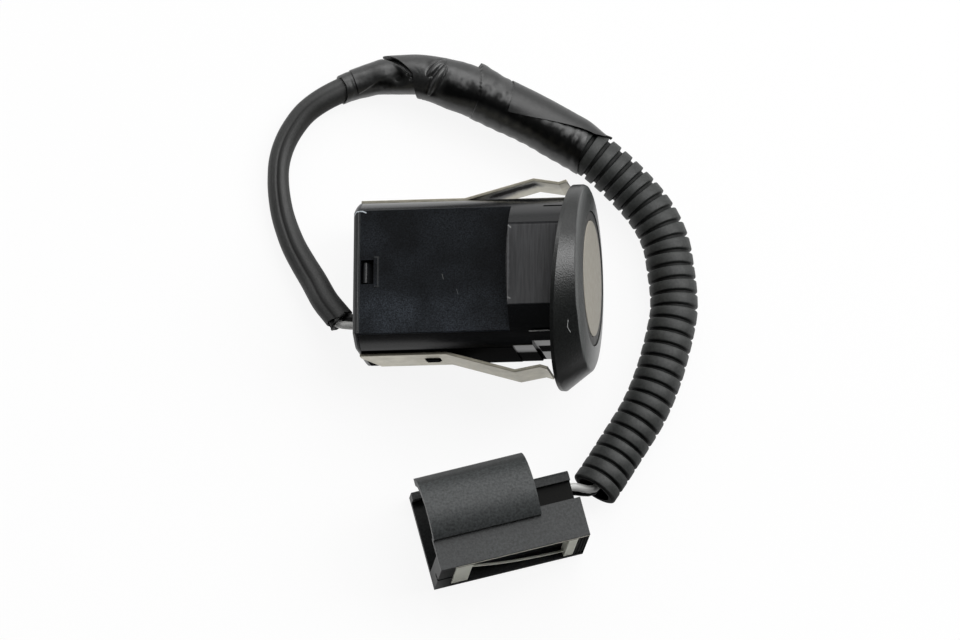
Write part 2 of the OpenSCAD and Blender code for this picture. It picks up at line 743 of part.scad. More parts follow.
// Hollow of the shroud, open at the side above the low wall
module mouth_outline() {
    translate([south_t, conn_wall]) square([conn_w - south_t - conn_wall, conn_h - 2 * conn_wall]);
    intersection() {
        translate(bridge_mid) circle(bridge_r - conn_wall);
        translate([bridge_foot + conn_wall / 2, conn_wall]) square([2 * conn_w, 2 * conn_h]);
    }
}

// Outline of the rear block with its rail and valley
module rear_outline() {
    bevel = 0.4;
    polygon([[0, 0], [rail_out, 0], [rail_out, rail_h - bevel], [rail_out - bevel, rail_h],
        [rail_out - rail_w, rail_h], [rail_out - rail_w, valley_h], [top_edge + bevel, valley_h],
        [top_edge, conn_h], [0, conn_h]]);
}

module terminal_ways() {
    way = contact_s + 2 * fit;
    slot = tab_s + 2 * fit;
    for (side = [-1, 1]) translate([0, contact_w, contact_z + side * contact_pitch / 2]) {
        translate([mouth_l + way_wall, -way / 2, -way / 2]) cube([conn_l, way, way]);
        translate([mouth_l - OVER, -slot / 2, -slot / 2]) cube([2 * OVER, slot, slot]);
    }
}

module connector_housing() {
    rib = 0.28;
    rib_step = 0.45;
    rib_cut = 0.15;
    split = 0.8;
    color([0.22, 0.23, 0.24]) in_connector() difference() {
        union() {
            difference() {
                prism(0, bridge_l) shroud_outline();
                prism(-OVER, bridge_l + OVER) mouth_outline();
            }
            prism(mouth_l, bridge_l + EPS) translate([south_t - EPS, EPS])
                square([conn_w - south_t - 2 * conn_wall, block_top]);
            prism(bridge_l, conn_l) rear_outline();
        }
        translate([strap_k - fit, -OVER, slot_low])
            cube([post_k + post_l - strap_k + 2 * fit, recess_d + OVER, slot_h]);
        translate([-OVER, -OVER, conn_h * 0.45]) cube([strap_k + 2 * OVER, OVER + conn_wall, split]);
        for (i = [0:2]) translate([post_k + post_l + rib + i * rib_step, -OVER, conn_wall])
            cube([rib, OVER + rib_cut, conn_h - 2 * conn_wall]);
        terminal_ways();
    }
}

module terminal_retainer() {
    low = slot_low + fit;
    tall = slot_h - 2 * fit;
    deep = recess_d - fit;
    beam_in = 0.4;
    beam_deep = 0.3;
    beam_start = [strap_k + strap_l, low + tall * 0.65];
    beam_end = [post_k, low + tall * 0.12];
    run = beam_end - beam_start;
    half = norm(run) / 2;
    bow = 1.25;
    bow_r = (half * half + bow * bow) / (2 * bow);
    color([0.62, 0.63, 0.62]) in_connector() {
        translate([strap_k, 0, low]) cube([strap_l, deep, tall]);
        translate([post_k, 0, low]) cube([post_l, deep, tall]);
        translate([0, beam_in + beam_deep, 0]) rotate([90, 0, 0]) linear_extrude(beam_deep)
            translate((beam_start + beam_end) / 2) rotate(atan2(run[1], run[0])) intersection() {
                translate([0, bow_r - bow]) difference() {
                    circle(bow_r);
                    circle(bow_r - beam_t);
                }
                translate([-half - beam_t, -bow - beam_t])
                    square([2 * half + 2 * beam_t, bow + 2 * beam_t]);
            }
    }
}

module connector_contacts() {
    half = contact_s / 2;
    crimp = 2.4;
    tab_tip = 3.5;
    color([0.75, 0.68, 0.5]) in_connector() for (side = [-1, 1])
        translate([0, contact_w, contact_z + side * contact_pitch / 2]) {
            translate([tab_tip, -tab_s / 2, -tab_s / 2]) cube([mouth_l + OVER - tab_tip, tab_s, tab_s]);
            translate([mouth_l + way_wall + fit, -half, -half])
                cube([contact_rear - crimp - mouth_l - way_wall - fit, contact_s, contact_s]);
            rod(contact_rear - crimp - EPS, contact_rear - EPS, half);
        }
}

housing();
rear_cap();
bezel_ring();
transducer_cup();
decoupling_ring();
piezo_disc();
damping_pad();
transducer_base();
transducer_leads();
circuit_board();
coil_core();
coil_winding();
capacitor();
chip_resistors();
sealing_compound();
spring_clip_left();
spring_clip_right();
lead_grommet();
lead_wire_grey();
lead_wire_black();
lead_sleeve();
joint_tape();
harness_tape();
conduit();
connector_housing();
terminal_retainer();
connector_contacts();
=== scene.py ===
"""Looks of a parking sensor: its head, its taped lead, its conduit and its connector."""

import logging
import math
from dataclasses import dataclass, field
from enum import Enum
from typing import Callable, Sequence

import bmesh
import bpy
from mathutils import Matrix, Vector, noise


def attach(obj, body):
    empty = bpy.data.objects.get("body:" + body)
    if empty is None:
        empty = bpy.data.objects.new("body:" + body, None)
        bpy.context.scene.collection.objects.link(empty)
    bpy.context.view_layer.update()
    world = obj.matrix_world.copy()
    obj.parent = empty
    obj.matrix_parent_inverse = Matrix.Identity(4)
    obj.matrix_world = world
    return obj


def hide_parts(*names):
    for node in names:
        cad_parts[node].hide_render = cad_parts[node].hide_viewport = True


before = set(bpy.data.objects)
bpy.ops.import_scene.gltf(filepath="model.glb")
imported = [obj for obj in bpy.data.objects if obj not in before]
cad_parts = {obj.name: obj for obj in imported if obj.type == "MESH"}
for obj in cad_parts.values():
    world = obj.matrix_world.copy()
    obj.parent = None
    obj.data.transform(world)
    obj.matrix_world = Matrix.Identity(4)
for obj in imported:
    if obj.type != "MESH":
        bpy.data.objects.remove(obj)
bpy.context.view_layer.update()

LOG = logging.getLogger("parking_sensor")
MM = 0.001
IOR = 1.5
SHARP_BODY, SHARP_SOFT = 28.0, 40.0
SEAT, TILT = (11.5194, 0.8487, 13.3979), 13.8648
PLUG_AT, PLUG_YAW = (-4.9, -39.1, 0.0), 15.6
Colour = tuple[float, float, float]
Pair = tuple[float, float]
Socket = bpy.types.NodeSocket
Piece = bpy.types.Object
Mesh = bmesh.types.BMesh


@dataclass
class Pose:
    """Frames of the sensor and of the connector, as they lie on the table."""

    seat: Colour = SEAT
    tilt: float = TILT
    plug_at: Colour = PLUG_AT
    plug_yaw: float = PLUG_YAW

    def sensor(self, x: float, y: float, z: float) -> Vector:
        """Point of the sensor's own frame, in millimetres on the table."""
        c, s = around(self.tilt)
        return Vector(self.seat) + Vector((x * c - z * s, y, x * s + z * c))

    def plug(self, k: float, w: float, z: float) -> Vector:
        """Point of the connector's own frame, in millimetres on the table."""
        c, s = around(self.plug_yaw)
        return Vector(self.plug_at) + Vector((k * c - w * s, k * s + w * c, z))


def around(angle: float) -> Pair:
    """Cosine and sine of an angle in degrees."""
    return math.cos(math.radians(angle)), math.sin(math.radians(angle))


class Sketch:
    """Node tree of one material, with short ways to add nodes."""

    def __init__(self, name: str) -> None:
        """Start a material with one principled shader."""
        self.material = bpy.data.materials.new(name)
        self.material.use_nodes = True
        self.tree = self.material.node_tree
        self.shader = self.tree.nodes["Principled BSDF"]
        self.place = self.add("ShaderNodeTexCoord").outputs["Object"]

    def add(self, kind: str, inputs: dict | None = None, **settings: object) -> bpy.types.Node:
        """Add a node.

        Args:
            kind: Node type.
            inputs: Values or sockets for its inputs.
            settings: Properties of the node.

        Returns:
            The new node.
        """
        node = self.tree.nodes.new(kind)
        for key, value in settings.items():
            setattr(node, key, value)
        for key, value in (inputs or {}).items():
            if isinstance(value, Socket):
                self.tree.links.new(value, node.inputs[key])
            else:
                node.inputs[key].default_value = value
        return node

    def noise(self, size: float, detail: float = 2.0, stretch: Colour = (1, 1, 1), turn: Colour = (0, 0, 0)) -> Socket:
        """Noise over the piece.

        Args:
            size: Size of its blots in millimetres.
            detail: Number of finer layers.
            stretch: How much finer it is along each axis.
            turn: Turn of the pattern in radians.

        Returns:
            The noise value, about 0 to 1.
        """
        scale = [s / (size * MM) for s in stretch]
        place = self.add("ShaderNodeMapping", {"Vector": self.place, "Rotation": turn, "Scale": scale}).outputs[0]
        return self.add("ShaderNodeTexNoise", {"Vector": place, "Scale": 1.0, "Detail": detail}).outputs[0]

    def own_place(self, seat: Colour, turn: Colour) -> tuple[Socket, ...]:
        """Place in a sub-assembly's own frame.

        Args:
            seat: Origin of that frame in millimetres.
            turn: Its turn about the three axes in degrees.

        Returns:
            The vector in millimetres and its three parts.
        """
        inputs = {"Vector": self.place, "Location": Vector(seat) * MM, "Rotation": [math.radians(a) for a in turn],
                  "Scale": (MM, MM, MM)}
        local = self.add("ShaderNodeMapping", inputs, vector_type="TEXTURE").outputs[0]
        return (local, *self.add("ShaderNodeSeparateXYZ", {0: local}).outputs)

    def ramp(self, value: Socket, source: Pair, target: Pair) -> Socket:
        """Map one span of values to another and clamp it.

        Args:
            value: Socket to map.
            source: Ends of the source span.
            target: Ends of the target span.

        Returns:
            The mapped value.
        """
        return self.add("ShaderNodeMapRange", dict(enumerate((value, *source, *target)))).outputs[0]

    def math(self, kind: str, *values: Socket | float) -> Socket:
        """One math operation.

        Args:
            kind: Name of the operation.
            values: Sockets or numbers.

        Returns:
            Its result.
        """
        return self.add("ShaderNodeMath", dict(enumerate(values)), operation=kind).outputs[0]

    def product(self, first: Socket, *others: Socket | float) -> Socket:
        """Product of sockets and numbers."""
        for other in others:
            first = self.math("MULTIPLY", first, other)
        return first

    def off(self, value: Socket, middle: float) -> Socket:
        """Distance of a value from a middle."""
        return self.math("ABSOLUTE", self.math("SUBTRACT", value, middle))

    def vector(self, kind: str, first: object, second: object) -> Socket:
        """One vector operation.

        Args:
            kind: Name of the operation.
            first: Vector, as a socket or numbers.
            second: Second vector, or the factor for SCALE.

        Returns:
            Its result, which is a number for DOT_PRODUCT and DISTANCE.
        """
        node = self.add("ShaderNodeVectorMath", {0: first, "Scale" if kind == "SCALE" else 1: second}, operation=kind)
        return node.outputs["Value" if kind in ("DOT_PRODUCT", "DISTANCE") else "Vector"]

    def mix(self, factor: Socket, low: Socket | Colour, high: Socket | Colour) -> Socket:
        """Mix two colours.

        Args:
            factor: 0 for the first colour, 1 for the second.
            low: First colour.
            high: Second colour.

        Returns:
            The mixed colour.
        """
        low, high = (c if isinstance(c, Socket) else (*c, 1) for c in (low, high))
        return self.add("ShaderNodeMix", {0: factor, 6: low, 7: high}, data_type="RGBA").outputs[2]

    def feed(self, name: str, value: Socket) -> None:
        """Link a socket to the shader."""
        self.tree.links.new(value, self.shader.inputs[name])

    def cover(self, factor: Socket, colour: Socket | Colour) -> None:
        """Lay a colour over the shader's own where the factor is 1."""
        plain = self.shader.inputs["Base Color"].links[0].from_socket
        self.feed("Base Color", self.mix(factor, plain, colour))

    def scale(self, level: Socket) -> None:
        """Scale the shader's colour."""
        plain = self.shader.inputs["Base Color"].links[0].from_socket
        self.feed("Base Color", self.vector("SCALE", plain, level))

    def bump(self, height: Socket, depth: float) -> None:
        """Use a height of about 0 to 1 for bump of a real depth in millimetres."""
        node = self.add("ShaderNodeBump", {"Height": height, "Distance": depth * MM, "Strength": 1.0})
        self.feed("Normal", node.outputs[0])


def shade(colour: Colour, share: float) -> Colour:
    """Scale a colour, up to 1 in each channel."""
    return tuple(min(1.0, c * share) for c in colour)


@dataclass(frozen=True)
class Mark:
    """Thin mark along points in its sub-assembly's own frame in millimetres, kept to one side of a plane if given."""

    points: tuple[Colour, ...]
    half_mm: float = 0.05
    share: float = 1.0
    colour: Colour = (0.5, 0.51, 0.5)
    dull: bool = False
    side: tuple[Colour, float] | None = None


@dataclass(frozen=True)
class Finish:
    """Moulded or painted surface with soft colour blots and a fine grain."""

    name: str
    colour: Colour
    roughness: float = 0.5
    specular: float = 0.5
    metallic: float = 0.0
    blot: float = 0.12
    blot_mm: float = 3.0
    grain_mm: float = 0.2
    grain_depth: float = 0.01
    dust: float = 0.0
    dust_colour: Colour = (0.35, 0.35, 0.34)
    marks: tuple[Mark, ...] = ()
    seat: Colour = SEAT
    turn: Colour = (0, -TILT, 0)
    shows_painted_light: bool = False

    def material(self) -> bpy.types.Material:
        """The finish as a material."""
        sketch = Sketch(self.name)
        sketch.shader.inputs["Metallic"].default_value = self.metallic
        sketch.shader.inputs["Specular IOR Level"].default_value = self.specular
        blots = sketch.ramp(sketch.noise(self.blot_mm, 4), (0.3, 0.7), (0, 1))
        sketch.feed("Base Color", sketch.mix(blots, *(shade(self.colour, 1 + s * self.blot) for s in (-1, 1))))
        if self.dust:
            specks = sketch.ramp(sketch.noise(0.16, 1), (0.72, 0.78), (0, self.dust))
            sketch.cover(specks, self.dust_colour)
        # Painted light and shade: the vertex attribute scales the colour and the shine of lead pieces.
        if self.shows_painted_light:
            painted_light = sketch.add("ShaderNodeAttribute", attribute_name="painted_light").outputs["Fac"]
            painted_light = sketch.math("MAXIMUM", sketch.math("ADD", painted_light, 1.0), 0.05)
            sketch.scale(painted_light)
            sketch.feed("Specular IOR Level", sketch.product(painted_light, self.specular))
        rough_span = self.roughness * 0.9, min(1.0, self.roughness * 1.1)
        sketch.feed("Roughness", sketch.ramp(sketch.noise(self.blot_mm * 0.7, 3), (0.3, 0.7), rough_span))
        self.surface(sketch)
        return sketch.material

    def surface(self, sketch: Sketch) -> None:
        """Lay the marks and a fine moulded grain."""
        self.scratch(sketch)
        sketch.bump(sketch.noise(self.grain_mm, 2), self.grain_depth)

    def scratch(self, sketch: Sketch) -> None:
        """Lay the marks, of which a dull one also takes the shine away."""
        for mark in self.marks:
            reach = self.reach(sketch, mark)
            sketch.cover(reach, mark.colour)
            if mark.dull:
                sketch.feed("IOR", sketch.math("MULTIPLY_ADD", reach, -0.48, IOR))
                sketch.feed("Metallic", sketch.math("MULTIPLY_ADD", reach, -self.metallic, self.metallic))

    def reach(self, sketch: Sketch, mark: Mark) -> Socket:
        """Find how far a mark covers the finish.

        Args:
            sketch: Material that gets it.
            mark: The mark.

        Returns:
            Its share of the colour, from 0 to 1.
        """
        local = sketch.own_place(self.seat, self.turn)[0]
        near = None
        for start, end in zip(mark.points, mark.points[1:]):
            run = Vector(end) - Vector(start)
            here = sketch.vector("SUBTRACT", local, start)
            along = sketch.ramp(sketch.vector("DOT_PRODUCT", here, run / run.length_squared), (0, 1), (0, 1))
            gap = sketch.vector("DISTANCE", here, sketch.vector("SCALE", run, along))
            near = gap if near is None else sketch.math("MINIMUM", near, gap)
        edge = sketch.math("MULTIPLY_ADD", sketch.noise(0.25, 3), mark.half_mm, near)
        share = sketch.ramp(edge, (mark.half_mm, mark.half_mm * 2), (mark.share, 0))
        if mark.side:
            normal, level = mark.side
            out = sketch.vector("DOT_PRODUCT", local, normal)
            share = sketch.product(share, sketch.ramp(out, (level, level + 0.08), (1, 0)))
        return share


@dataclass(frozen=True)
class Keyed(Finish):
    """Polished housing plastic with grained flats and a streaked keying facet, with painted shade that turns the near
    side, the facet's rim and the side ledges black, and a painted highlight ahead of the facet's step.
    """

    flat_z: float = 7.0
    flat: Colour = (0.0078, 0.0092, 0.0112)
    facet: Colour = (0.032, 0.0325, 0.035)
    facet_z: float = 9.55
    facet_rim: Pair = (5.5, 9.46)
    step_x: float = -6.7
    side_y: Pair = (-10.13, -10.07)
    ledge_x: Pair = (-3.62, -3.58)
    ledge_y: Pair = (-9.56, -9.5)

    def surface(self, sketch: Sketch) -> None:
        """Lay the flats, the facet with its painted highlight, the painted shade on the near side, the ledges and the
        facet's rim, then the marks and the grain.
        """
        local, x, y, z = sketch.own_place(self.seat, self.turn)
        ahead = sketch.ramp(x, (self.step_x - 0.04, self.step_x), (0, 1))
        on_facet = sketch.product(sketch.ramp(sketch.off(z, self.facet_z), (0.1, 0.15), (1, 0)), ahead)
        height = sketch.off(sketch.math("ABSOLUTE", z), self.flat_z)
        on_flat = sketch.product(sketch.ramp(height, (0.14, 0.2), (1, 0)), sketch.math("SUBTRACT", 1.0, ahead))
        # Painted shade: the near side below y -10.1 is made near black.
        shaded_side = sketch.ramp(y, self.side_y, (1, 0))
        # Painted shade along the facet's rim on the +y side, where its wall is in shadow.
        rim_shade = sketch.product(sketch.ramp(sketch.off(y, self.facet_rim[0]), (0.14, 0.24), (1, 0)),
                                sketch.ramp(sketch.off(z, self.facet_rim[1]), (0.1, 0.2), (1, 0)), ahead, 0.6)
        drawn = sketch.add("ShaderNodeMapping", {"Vector": local, "Scale": (4.5, 0.28, 0.28)}).outputs[0]
        streaks = sketch.add("ShaderNodeTexNoise", {"Vector": drawn, "Scale": 1.0, "Detail": 3.0}).outputs[0]
        # Painted highlight: the facet is lighter in blots just ahead of its rear step.
        near = sketch.product(sketch.ramp(x, (self.step_x, self.step_x + 0.45), (1, 0)),
                              sketch.ramp(sketch.noise(0.9, 3), (0.42, 0.62), (0, 1)))
        level = sketch.math("ADD", sketch.ramp(streaks, (0.35, 0.68), (0.5, 1.1)), near)
        sketch.cover(on_facet, sketch.vector("SCALE", self.facet, level))
        # The flats are twice as light where y is below -4.6, and vary with two noises.
        flat_level = sketch.product(sketch.ramp(y, (-4.6, -2.2), (2.0, 1)),
                              sketch.ramp(sketch.noise(7.0, 2), (0.35, 0.65), (0.6, 1.35)),
                              sketch.ramp(sketch.noise(0.17, 2), (0.34, 0.68), (0.35, 1.75)))
        sketch.cover(on_flat, sketch.vector("SCALE", self.flat, flat_level))
        sketch.cover(shaded_side, shade(self.flat, 0.15))
        sketch.cover(rim_shade, shade(self.flat, 0.2))
        rough_flat = sketch.math("MULTIPLY_ADD", on_flat, 0.14, self.roughness)
        sketch.feed("Roughness", sketch.math("MULTIPLY_ADD", on_facet, 0.3, rough_flat))
        sketch.feed("Specular IOR Level", sketch.math("MULTIPLY_ADD", on_flat, -0.38, self.specular))
        # Painted shade: the side ledges, the near side and the facet's rim lose their reflection, so they show black.
        ledge_shade = sketch.product(ahead, sketch.ramp(y, self.ledge_y, (1, 0)), self.ledge(sketch, x, z))
        black = sketch.math("MAXIMUM", sketch.math("MAXIMUM", shaded_side, ledge_shade), rim_shade)
        sketch.feed("IOR", sketch.math("MULTIPLY_ADD", black, -0.49, IOR))
        self.scratch(sketch)
        grain = sketch.math("MULTIPLY_ADD", on_flat, sketch.noise(0.3, 3), sketch.product(streaks, on_facet))
        sketch.bump(grain, self.grain_depth)

    def ledge(self, sketch: Sketch, x: Socket, z: Socket) -> Socket:
        """Find where the barrel's two side ledges lose their reflection, as painted shade.

        Args:
            sketch: Material that gets it.
            x: Place along the sensor.
            z: Height above its middle.

        Returns:
            1 low on the rear ledge and round the middle of the front one.
        """
        rear = sketch.ramp(x, self.ledge_x, (1, 0))
        low = sketch.product(rear, sketch.ramp(z, (0.4, 2.4), (1, 0)))
        middle = sketch.ramp(sketch.off(z, 0.7), (1.5, 2.1), (1, 0))
        return sketch.math("MAXIMUM", low, sketch.product(sketch.math("SUBTRACT", 1.0, rear), middle))


@dataclass(frozen=True)
class Valleyed(Finish):
    """Connector plastic with painted shade in the valley beside its rear rail, and painted light that makes its top
    lighter than its sides.
    """

    across: Pair = (5.4, 8.8)
    behind: float = 14.9
    below: float = 6.3
    side_z: Pair = (10.4, 10.7)
    top_z: Pair = (11.6, 11.9)
    # Colour of the painted shade in the valley.
    dark: Colour = (0.0055, 0.0055, 0.005)

    def surface(self, sketch: Sketch) -> None:
        """Lay the marks, the painted shade in the valley, painted light that rises with height and a fine grain."""
        self.scratch(sketch)
        _, k, w, z = sketch.own_place(self.seat, self.turn)
        # Painted shade: the valley is made dark and loses most of its shine.
        valley = sketch.product(sketch.ramp(w, (self.across[0] - 0.1, self.across[0]), (0, 1)),
                                sketch.ramp(w, (self.across[1], self.across[1] + 0.1), (1, 0)),
                                sketch.ramp(k, (self.behind, self.behind + 0.1), (0, 1)),
                                sketch.ramp(z, (self.below, self.below + 0.15), (1, 0)))
        sketch.cover(valley, self.dark)
        # Painted light: the sides are darker and less shiny low down, and the top lighter.
        sketch.scale(sketch.product(sketch.ramp(z, self.side_z, (0.7, 1)), sketch.ramp(z, self.top_z, (1, 1.6))))
        shine = sketch.product(sketch.ramp(z, self.side_z, (0.6, 1)), self.specular)
        sketch.feed("Specular IOR Level", sketch.product(shine, sketch.math("MULTIPLY_ADD", valley, -0.7, 1.0)))
        sketch.bump(sketch.noise(self.grain_mm, 2), self.grain_depth)


@dataclass(frozen=True)
class Spark(Finish):
    """Spark-eroded mould texture of small round bumps, with a painted highlight along the front edge and painted light
    on the front face.
    """

    cell_mm: float = 0.24
    edge_x: float = 2.88

    def surface(self, sketch: Sketch) -> None:
        """Lay the marks, the painted highlight on the edge and the painted light on the front, and rounded bumps."""
        self.scratch(sketch)
        x = sketch.own_place(self.seat, self.turn)[1]
        # Painted highlight along the front edge, and painted light that makes the front face lighter.
        front = sketch.ramp(x, (self.edge_x - 0.1, self.edge_x + 0.1), (1, 2.4))
        sketch.scale(sketch.math("ADD", front, sketch.ramp(sketch.off(x, self.edge_x), (0.05, 0.16), (2.2, 0))))
        cells = sketch.add("ShaderNodeTexVoronoi", {"Vector": sketch.place, "Scale": 1 / (self.cell_mm * MM)})
        height = sketch.math("ADD", sketch.ramp(cells.outputs[0], (0.1, 0.7), (1, 0)), sketch.noise(self.grain_mm, 2))
        sketch.bump(height, self.grain_depth)


@dataclass(frozen=True)
class Rolled(Finish):
    """Rolled spring steel with fine lines along the strip and dull blots."""

    def surface(self, sketch: Sketch) -> None:
        """Lay the marks and the rolling lines."""
        self.scratch(sketch)
        sketch.bump(sketch.noise(1.2, 3, (1, 1, 14), (0, math.radians(TILT), 0)), self.grain_depth)


@dataclass(frozen=True)
class Wrinkled(Finish):
    """Stretched tape with soft wrinkles and small blisters."""

    wrinkle_mm: float = 1.6

    def surface(self, sketch: Sketch) -> None:
        """Lay wrinkles over a fine grain."""
        folds = sketch.noise(self.wrinkle_mm, 2, (1, 1.6, 1.3), (0.3, 0.2, 0.6))
        sketch.bump(sketch.math("MULTIPLY_ADD", sketch.noise(self.grain_mm, 2), 0.18, folds), self.grain_depth)


# Pale colour of painted glints on the housing's and cap's edges.
GLINT_PALE = (0.55, 0.6, 0.64)
SHADOW = (0.012, 0.011, 0.01)
CLIP_INSIDE = ((-0.265, 1, 0), 14.15)
# Two faint scratches on the flat, then painted highlights along edges and painted glints at corners.
SCRATCHES_AND_GLINTS = (
    Mark(((-15.94, -0.54, 7), (-15.73, -1.23, 7)), 0.035, 0.2),
    Mark(((-13.96, -2.66, 7), (-13.75, -3.35, 7)), 0.035, 0.12),
    # Painted highlight on the window's sloped edge.
    Mark(((-25.0, -2.05, 7.1), (-24.55, -2.05, 7.1), (-24.55, 2.05, 7.1), (-25.05, 2.05, 7.1)), 0.12, 0.06),
    # Painted highlight along the rear edge of the flat.
    Mark(((-27.12, -8.3, 7), (-27.12, 8.3, 7)), 0.06, 0.08),
    # Painted highlight along the edge of the slit on the near side.
    Mark(((-4.1, -8.62, 6.75), (-1.0, -8.62, 6.75)), 0.09, 0.84),
    # Painted glint on the rear corner.
    Mark(((-27.2, 8.38, 7), (-26.7, 8.36, 7), (-26.3, 8.15, 7)), 0.07, 0.9, GLINT_PALE),
    # Painted highlight along the facet's step edge, and painted glints at its two corners.
    Mark(((-6.66, 5.3, 9.55), (-6.66, -4.9, 9.55)), 0.08, 0.5, (0.17, 0.17, 0.175)),
    Mark(((-6.6, 5.2, 9.55), (-6.35, 4.95, 9.55)), 0.1, 0.4),
    Mark(((-6.6, -4.6, 9.55), (-6.35, -4.75, 9.55)), 0.1, 0.4),
)
# Painted glint on the cap's rear corner.
CAP_GLINT = (Mark(((-28, 7.8, 6.5), (-27.6, 8.3, 6.95), (-27.2, 8.38, 7)), 0.07, 0.9, GLINT_PALE),)
BEZEL_SCRATCH = (Mark(((1.64, -8.18, 10.38), (1.48, -9.0, 9.84), (1.77, -9.51, 9.06)), 0.05, 0.6),)
CLIP_SHADOW = (
    Mark(((-9.6, 11.45, 1.2), (-6.7, 12.2, 1.4), (-4.95, 12.7, 1.3)), 1.3, 0.97, SHADOW, True, CLIP_INSIDE),
    Mark(((-11.6, 10.95, -0.8), (-8.4, 11.8, 0.3)), 1.3, 0.97, SHADOW, False, CLIP_INSIDE),
)
# Painted highlight along the connector's upper edge.
PLUG_EDGE_HIGHLIGHT = (Mark(((2.2, 0, 11.05), (20.4, 0, 11.05)), 0.2, 0.9, (0.85, 0.82, 0.7)),)
HOUSING_BLACK = Keyed("housing_black", (0.0036, 0.0041, 0.005), 0.22, blot=0.35, blot_mm=0.5, grain_depth=0.006,
                      dust=0.06, marks=SCRATCHES_AND_GLINTS)
CAP_BLACK = Finish("cap_black", (0.011, 0.0118, 0.013), 0.36, 0.4, blot=0.45, blot_mm=0.25, grain_depth=0.006,
                   marks=CAP_GLINT)
BEZEL_BLACK = Spark("bezel_black", (0.0072, 0.0082, 0.0078), 0.32, 0.56, blot=0.6, blot_mm=0.26, grain_depth=0.0085,
                    marks=BEZEL_SCRATCH)
FACE_TAUPE = Finish("face_taupe", (0.264, 0.246, 0.208), 0.5, 0.4, blot=0.03, blot_mm=1.2, grain_mm=0.1,
                    grain_depth=0.003)
RING_BLACK = Finish("ring_black", (0.026, 0.026, 0.025), 0.5, 0.4, blot=0.2)
SPRING_STEEL = Rolled("spring_steel", (0.41, 0.387, 0.315), 0.34, 0.5, 1.0, blot=0.14, blot_mm=1.5, grain_depth=0.006,
                      marks=CLIP_SHADOW)
WIRE_GREY = Finish("wire_grey", (0.6, 0.6, 0.585), 0.35, blot=0.06, grain_depth=0.003)
WIRE_BLACK = Finish("wire_black", (0.008, 0.008, 0.0085), 0.35, blot=0.1, grain_depth=0.003)
SLEEVE_BLACK = Finish("sleeve_black", (0.012, 0.0125, 0.012), 0.5, 0.55, blot=0.25, blot_mm=0.3, grain_mm=0.3,
                      grain_depth=0.002, shows_painted_light=True)
TAPE_BLACK = Wrinkled("tape_black", (0.0095, 0.0099, 0.0098), 0.38, 0.6, blot=0.35, blot_mm=0.5, grain_depth=0.05,
                      shows_painted_light=True, wrinkle_mm=2.2)
CONDUIT_BLACK = Finish("conduit_black", (0.022, 0.0238, 0.0228), 0.55, 0.45, blot=0.3, blot_mm=0.4, grain_depth=0.006,
                       shows_painted_light=True)
PLUG_BLACK = Valleyed("plug_black", (0.021, 0.0232, 0.0235), 0.5, 0.47, blot=0.55, blot_mm=0.3, grain_depth=0.012,
                      marks=PLUG_EDGE_HIGHLIGHT, seat=PLUG_AT, turn=(0, 0, PLUG_YAW))
RETAINER_GREY = Finish("retainer_grey", (0.74, 0.745, 0.655), 0.45, 0.4, blot=0.06, grain_depth=0.006)
CONTACT_BRASS = Finish("contact_brass", (0.6, 0.5, 0.32), 0.3, 0.5, 1.0, blot=0.1)
PIEZO_CERAMIC = Finish("piezo_ceramic", (0.62, 0.56, 0.42), 0.5, 0.4)
PAD_FOAM = Finish("pad_foam", (0.09, 0.09, 0.085), 0.85, 0.2, grain_mm=0.3, grain_depth=0.05)
BASE_PLASTIC = Finish("base_plastic", (0.5, 0.45, 0.33), 0.45, 0.4)
LEAD_COPPER = Finish("lead_copper", (0.62, 0.36, 0.18), 0.3, 0.5, 1.0)
BOARD_GREEN = Finish("board_green", (0.015, 0.11, 0.045), 0.35, blot=0.08)
CORE_FERRITE = Finish("core_ferrite", (0.04, 0.038, 0.037), 0.6, 0.4)
CAPACITOR_RED = Finish("capacitor_red", (0.42, 0.075, 0.03), 0.35)
CHIP_BLACK = Finish("chip_black", (0.03, 0.03, 0.034), 0.4)
SEAL_GREY = Finish("seal_grey", (0.07, 0.07, 0.064), 0.3)
GROMMET_BLACK = Finish("grommet_black", (0.012, 0.012, 0.012), 0.6, 0.3)


